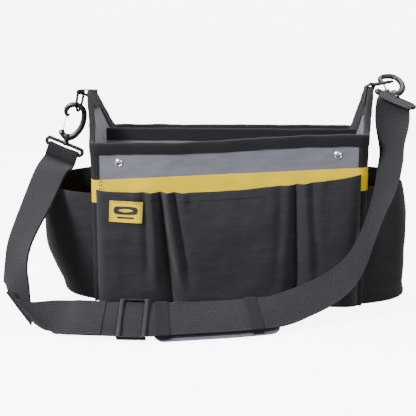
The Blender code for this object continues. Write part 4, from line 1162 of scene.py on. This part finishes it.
# Edges of the webbing where it folds over itself: upper and lower end of each line across it
FOLD_IN = [((-0.3142, -0.1820, 0.0572), (-0.2730, -0.2060, 0.0820)),
           ((-0.3045, -0.2050, 0.0520), (-0.2655, -0.2245, 0.0530))]
FOLD_LINE = ((-0.2934, -0.2262, 0.0500), (-0.2585, -0.2375, 0.0105))
FOLD_OUT = [((-0.2787, -0.2325, 0.0400), (-0.2405, -0.2460, 0.0035)),
            ((-0.2550, -0.2335, 0.0367), (-0.2272, -0.2540, 0.0026))]
FOLD_R = 0.0020
FRONT_RUN = [((-0.2120, -0.2445, 0.0200), (0.0, 0.73, 0.68)), ((-0.1920, -0.2540, 0.0230), (0.0, 0.70, 0.71)),
             ((-0.1620, -0.2600, 0.0243), (0.0, 0.72, 0.69)), ((-0.1390, -0.2610, 0.0246), (0.0, 0.72, 0.69)),
             ((-0.1160, -0.2620, 0.0249), (0.0, 0.72, 0.69)), ((-0.0930, -0.2610, 0.0250), (-0.03, 0.73, 0.68)),
             ((-0.0640, -0.2550, 0.0247), (-0.10, 0.76, 0.64)), ((-0.0300, -0.2470, 0.0245), (-0.15, 0.77, 0.62)),
             ((0.0220, -0.2330, 0.0245), (-0.20, 0.76, 0.62)), ((0.0720, -0.2150, 0.0255), (-0.28, 0.73, 0.62)),
             ((0.1070, -0.1900, 0.0310), (-0.38, 0.70, 0.60)), ((0.1420, -0.1680, 0.0420), (-0.48, 0.70, 0.52)),
             ((0.1690, -0.1570, 0.0600), (-0.45, 0.80, 0.38)), ((0.1880, -0.1500, 0.0850), (-0.34, 0.92, 0.20)),
             ((0.2010, -0.1440, 0.1150), (-0.28, 0.96, 0.05)), ((0.2130, -0.1360, 0.1450), (-0.30, 0.95, 0.0)),
             ((0.2260, -0.1220, 0.1760), (-0.42, 0.90, 0.0)), ((0.2340, -0.1050, 0.2070), (-0.50, 0.86, 0.0)),
             ((0.2395, -0.0860, 0.2380), (-0.55, 0.83, 0.0))]
SLIDER_X, SLIDER_LENGTH = -0.116, 0.040
PAD_SPAN, KEEPER_X = (-0.093, 0.077), (-0.077, 0.043)
SPLIT_X = 0.043
TURN = EYE_R + 0.0003 + WEBBING / 2


def across_line(upper, lower, shift=(0, 0, 0)):
    """Station of the webbing from the two ends of a line across it, which may be askew."""
    upper, lower = Vector(upper), Vector(lower)
    return (upper + lower) / 2 + Vector(shift), (upper - lower) / WEBBING_WIDTH, 1.0


def fold():
    """The left run turned over on itself along a slanting line, so that the front run leaves over it."""
    upper, lower = (Vector(end) for end in FOLD_LINE)
    line = (lower - upper).normalized()
    before = across_line(*FOLD_IN[-1])[0]
    out = (upper + lower) / 2 - before
    out = (out - line * out.dot(line)).normalized()
    near = out.cross(line) if out.cross(line).y < 0 else line.cross(out)
    roll = [across_line(upper, lower, FOLD_R * (out * math.sin(turn) - near * math.cos(turn)))
            for turn in (math.pi * i / 6 for i in range(7))]
    return ([across_line(*ends) for ends in FOLD_IN] + roll + [across_line(*ends) for ends in FOLD_OUT])


def loop_point(eye, y, z):
    return eye @ Vector((SWIVEL_X, y, z))


def framed(route, per_span):
    """Smooth stations from (centre, width direction, how askew) triples: centre, width, normal."""
    centres = smooth([part[0] for part in route], per_span)
    widths = smooth([part[1] for part in route], per_span)
    askew = smooth([Vector((part[2] if len(part) > 2 else 0.0, 0, 0)) for part in route], per_span)
    made = []
    for i, centre in enumerate(centres):
        run = (centres[min(i + 1, len(centres) - 1)] - centres[max(i - 1, 0)]).normalized()
        width = (widths[i] - run * widths[i].dot(run)).normalized()
        width = width.lerp(widths[i], clamp(askew[i].x))
        made.append((centre, width, run.cross(width).normalized()))
    return made


EYES = {side: eye_frame(clip, PLACES[side]) for side, clip in CLIPS.items()}
ACROSS = {side: -(EYES[side].to_3x3() @ Vector((1, 0, 0))) for side in EYES}


def leads(side, lengths):
    leg = 0.010 if side < 0 else 0.009
    return [(loop_point(EYES[side], side * TURN, EYE_BAR - leg - step), ACROSS[side]) for step in lengths]


MAIN = ([*leads(-1, (0.0026, 0.0110))] + [(Vector(p), Vector(w).normalized()) for p, w in LEFT_RUN] + fold()
        + [(Vector(p), Vector(w).normalized()) for p, w in FRONT_RUN] + [*reversed(leads(1, (0.0026, 0.0110)))])
PER_SPAN = 8
STATIONS = framed(MAIN, PER_SPAN)


def wrap(side, sense):
    """Half turn of the webbing over the eye's lower bar, from the side of 'sense' to the other."""
    eye = EYES[side]
    made = [(loop_point(eye, sense * TURN, EYE_BAR - 0.006), ACROSS[side])]
    for i in range(9):
        angle = math.pi * i / 8
        y, z = sense * TURN * math.cos(angle), EYE_BAR + TURN * math.sin(angle)
        made.append((loop_point(eye, y, z), ACROSS[side]))
    made.append((loop_point(eye, -sense * TURN, EYE_BAR - 0.006), ACROSS[side]))
    return made


def webbing(name, stations, body=None, wear=0.35, width=WEBBING_WIDTH, cells=14):
    columns = []
    for i, (centre, across, normal) in enumerate(stations):
        column = []
        for s in steps(-0.5, 0.5, cells):
            point = centre + across * (s * width)
            curl = 0.0004 * math.cos(2 * math.pi * s) + 0.0005 * ripple(*point, 0.03, 7.0)
            column.append(point + normal * curl)
        columns.append(column)
    columns.reverse()
    obj = grid(name, columns, thickness=WEBBING, offset=0, wear=(wear, wear, 0.4, 0.4), edge=0.0022)
    return obj


def swap_uv(obj):
    """Turn the map so that its first axis runs across the webbing."""
    for item in obj.data.uv_layers["UVMap"].data:
        item.uv = (item.uv[1], item.uv[0])


def strap():
    """Left and right halves of the strap, each looped round its clip's eye at one end, and hidden joins at the
    pad.
    """
    cut = next(i for i, s in enumerate(STATIONS) if s[0].x > SPLIT_X and s[0].y < -0.2)
    stop = SLIDER_X - SLIDER_LENGTH / 2 - 0.022
    back = []
    for centre, across, normal in STATIONS:
        back.append([centre + normal * (WEBBING + 0.0005), across, normal])
        if centre.x > stop and centre.z < 0.04 and len(back) > 6 * PER_SPAN:
            break
    start = loop_point(EYES[-1], TURN, EYE_BAR - 0.0126)
    shift = start - back[0][0]
    reach = 3 * PER_SPAN
    for i in range(reach):
        back[i][0] = back[i][0] + shift * (1 - ease(i / reach))
    left = back[::-1] + framed(wrap(-1, 1), 2) + STATIONS[:cut + 1]
    obj = webbing("strap_left", left)
    swap_uv(obj)
    finish(obj, STRAPPING, None, "webbing", "strap", "strap_return", "left_strap_loop", sharp=60)
    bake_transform(obj)
    flap = [(loop_point(EYES[1], -TURN, EYE_BAR - step), ACROSS[1]) for step in (0.013, 0.021)]
    route = wrap(1, 1) + flap
    right = STATIONS[cut - 1:] + framed(route, 3)
    obj = webbing("strap_right", right)
    swap_uv(obj)
    finish(obj, STRAPPING, None, "webbing", "right_strap_loop", sharp=60)
    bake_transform(obj)


strap()


def front_stations(low, high):
    return [s for s in STATIONS if low <= s[0].x <= high and s[0].z < 0.045 and s[0].y < -0.15]


def station_frame(x):
    near = min(front_stations(-0.22, 0.12), key=lambda s: abs(s[0].x - x))
    centre, across, normal = near
    run = across.cross(normal).normalized()
    turned_to = Matrix((run, across, normal)).transposed().to_4x4()
    return Matrix.Translation(centre + run * ((x - centre.x) / run.x)) @ turned_to


def slider():
    """Moulded ladder buckle."""
    place = station_frame(SLIDER_X)
    clear = WEBBING / 2 + 0.0012
    thick = 0.0030
    half = WEBBING_WIDTH / 2 + 0.0026
    shells = []
    for y in (-1, 1):
        shells.append(bar("rail", place, (0, y * half, 0),
                          (SLIDER_LENGTH, 0.0026, 2 * (clear + thick) - 0.001), 0.0010))
    for x, z, wide in ((-1, 1, 0.0066), (1, 1, 0.0066), (0, -1, 0.0060)):
        shells.append(bar("rung", place, (x * (SLIDER_LENGTH / 2 - 0.0032), 0, z * (clear + thick / 2)),
                          (wide, 2 * half + 0.002, thick), 0.0011))
    obj = fuse(join("buckle", shells), 0.0005, 3)
    finish(obj, HOOK_PLASTIC, "slider", "black_plastic", "strap_slider", sharp=80)


slider()


def cushion(name, low, high, width, top, bottom, shift, material, slot, node):
    """Long pad along the strap, rounded at its corners, from 'bottom' to 'top' off the webbing's centre."""
    line = front_stations(low, high)
    fine = [tuple(a[n].lerp(b[n], k / 4) for n in range(3)) for a, b in zip(line, line[1:]) for k in range(4)]
    fine.append(line[-1])
    runs = [0.0]
    for a, b in zip(fine, fine[1:]):
        runs.append(runs[-1] + (b[0] - a[0]).length)
    radius = 0.014
    ring = 28
    columns = []
    for (centre, across, normal), run in zip(fine, runs):
        gap = min(run, runs[-1] - run)
        half = width / 2
        if gap < radius:
            half -= radius - math.sqrt(max(0.0, radius ** 2 - (radius - gap) ** 2))
        squeeze = ease(min(1.0, gap / 0.006 + 0.15))
        mid, tall = (top + bottom) / 2, (top - bottom) / 2
        column = []
        for k in range(ring + 1):
            angle = 2 * math.pi * k / ring
            c, s = math.cos(angle), math.sin(angle)
            a = math.copysign(abs(c) ** 0.45, c) * half
            b = math.copysign(abs(s) ** 0.75, s) * tall * squeeze
            column.append(centre + across * (a + shift) + normal * (mid + b))
        columns.append(column)
    obj = grid(name, columns)
    form = bmesh.new()
    form.from_mesh(obj.data)
    bmesh.ops.remove_doubles(form, verts=form.verts, dist=0.00002)
    bmesh.ops.holes_fill(form, edges=[e for e in form.edges if e.is_boundary], sides=0)
    bmesh.ops.recalc_face_normals(form, faces=form.faces)
    form.to_mesh(obj.data)
    form.free()
    return finish(obj, material, "pad", slot, node, sharp=70)


def pad():
    top = -(WEBBING / 2 + 0.0012)
    cover = cushion("pad_cushion", *PAD_SPAN, 0.0530, top, top - 0.0036, 0.0, BLACK_CANVAS, "black_fabric",
                    "shoulder_pad")
    cushion("pad_underside", *PAD_SPAN, 0.0560, top - 0.0030, top - 0.0056, -0.0031, GRIP,
            "grey_rubber", "pad_grip")
    rows = []
    for hand, x in zip(("left", "right"), KEEPER_X):
        place = station_frame(x)
        over = WEBBING / 2 + 0.0012
        edge = WEBBING_WIDTH / 2 + 0.0012
        low = top - 0.0012
        rise = [(edge + 0.0024, low - 0.001), (edge + 0.0006, low + 0.001), (edge, 0.0),
                (edge - 0.0010, over - 0.0003), (edge - 0.006, over)]
        path = [(-a, b) for a, b in rise] + [(0.0, over + 0.0002)] + rise[::-1]
        profile = smooth([Vector((0, a, b)) for a, b in path], 4)
        columns = [[place @ Vector((x0, p.y, p.z)) for p in profile] for x0 in steps(-0.0075, 0.0075, 10)]
        obj = grid("keeper_" + hand, columns, thickness=0.0009, offset=0, wear=(0, 0, 0.3, 0.3), edge=0.0015)
        finish(obj, BINDING, "pad", "black_tape", "pad_keeper_" + hand)


pad()

# ---------------------------------------------------------------- stitching


def bag_stitches():
    rows = []
    for pouch in POUCHES:
        rows += pouch.hem_lines()
    for wall in WALLS:
        rows.append(wall_line(wall, TAPE_LEG * 0.80, 0.0026))
    rows += tab_rows + label_rows
    for wall, sign in (("right", -1), ("right", 1), ("left", -1), ("left", 1)):
        middle = sign * (FLAT + ARC / 2) / END_HALF
        for shift in (-0.0068, 0.0068):
            a = clamp_to(middle + shift / END_HALF, 0.999)
            rows.append([wall_at(wall, a, z, 0.0019) for z in steps(0.004, top_at(wall, a) - TAPE_LEG, 70)])
    stitch("bag_stitches", rows, "bag", "black_tape")
    yellow = [wall_line(wall, 0.0022, 0.0028, level=band_top) for wall in WALLS]
    stitch("band_stitches", yellow, "bag", "yellow_tape", YELLOW_THREAD, 0.0030, 0.0022, 0.0005)
    corner = []
    for x in (-0.190, -0.1865):
        corner.append([wall_at("front", x / (LENGTH / 2 - CORNER), z, 0.0031)
                       for z in steps(band_low(x, -DEPTH / 2) + 0.004, band_top(x, -DEPTH / 2) - 0.002, 12)])
    stitch("corner_stitches", corner, "bag", "black_tape", THREAD, 0.0052, 0.0038, 0.0009)


bag_stitches()

# ---------------------------------------------------------- stage and lights


FLOOR_LEVEL = -0.0006
FLOOR_REACH = 40.0
FLOOR_GLOW = 6.6


def stage():
    """White surroundings and a pale floor, as in a cut-out, that light the bag mostly from above."""
    world = bpy.data.worlds.new("studio")
    world.use_nodes = True
    w = Wiring(world.node_tree)
    seen = w.node("ShaderNodeLightPath").outputs["Is Camera Ray"]
    split = w.node("ShaderNodeSeparateXYZ")
    w.plug(w.node("ShaderNodeTexCoord").outputs["Generated"], split.inputs[0])
    around = w.span(split.outputs[2], -0.6, 0.8, 0.15, 0.85)
    sky = world.node_tree.nodes["Background"]
    sky.inputs["Color"].default_value = (1, 1, 1, 1)
    w.plug(w.math("MULTIPLY_ADD", seen, 7.0, around), sky.inputs["Strength"])
    bpy.context.scene.world = world
    mesh = bpy.data.meshes.new("floor_plane")
    reach = FLOOR_REACH
    mesh.from_pydata([(-reach, -reach, FLOOR_LEVEL), (reach, -reach, FLOOR_LEVEL), (reach, reach, FLOOR_LEVEL),
                      (-reach, reach, FLOOR_LEVEL)], [], [(0, 1, 2, 3)])
    ground = bpy.data.objects.new("floor_plane", mesh)
    bpy.context.scene.collection.objects.link(ground)
    pale = bpy.data.materials.new("pale_floor")
    pale.use_nodes = True
    mesh.materials.append(pale)
    shader = pale.node_tree.nodes["Principled BSDF"]
    shader.inputs["Base Color"].default_value = (0.8, 0.8, 0.8, 1)
    shader.inputs["Roughness"].default_value = 0.9
    shader.inputs["Emission Color"].default_value = (1, 1, 1, 1)
    shader.inputs["Emission Strength"].default_value = FLOOR_GLOW
    ground.visible_diffuse = ground.visible_glossy = ground.visible_shadow = False
    for name, place, size, power in (("key", (-1.3, -1.2, 1.3), 0.6, 74.0),
                                     ("fill", (1.5, -1.4, 0.9), 1.2, 14.0),
                                     ("top", (0.2, 0.4, 1.9), 1.2, 36.0)):
        light = bpy.data.lights.new(name, "AREA")
        light.size = size
        light.energy = power
        obj = bpy.data.objects.new(name, light)
        obj.location = place
        obj.rotation_euler = (Vector((0, 0, 0.15)) - Vector(place)).to_track_quat("-Z", "Y").to_euler()
        bpy.context.scene.collection.objects.link(obj)


def camera():
    turn, dip = 0.069, 0.1738
    ahead = Vector((-math.sin(turn) * math.cos(dip), math.cos(turn) * math.cos(dip), -math.sin(dip)))
    data = bpy.data.cameras.new("camera")
    data.lens = 67.6
    data.sensor_width = 36.0
    obj = bpy.data.objects.new("camera", data)
    obj.location = (0.0506, -1.2398, 0.3468)
    obj.rotation_euler = ahead.to_track_quat("-Z", "Y").to_euler()
    bpy.context.scene.collection.objects.link(obj)
    bpy.context.scene.camera = obj


stage()
camera()
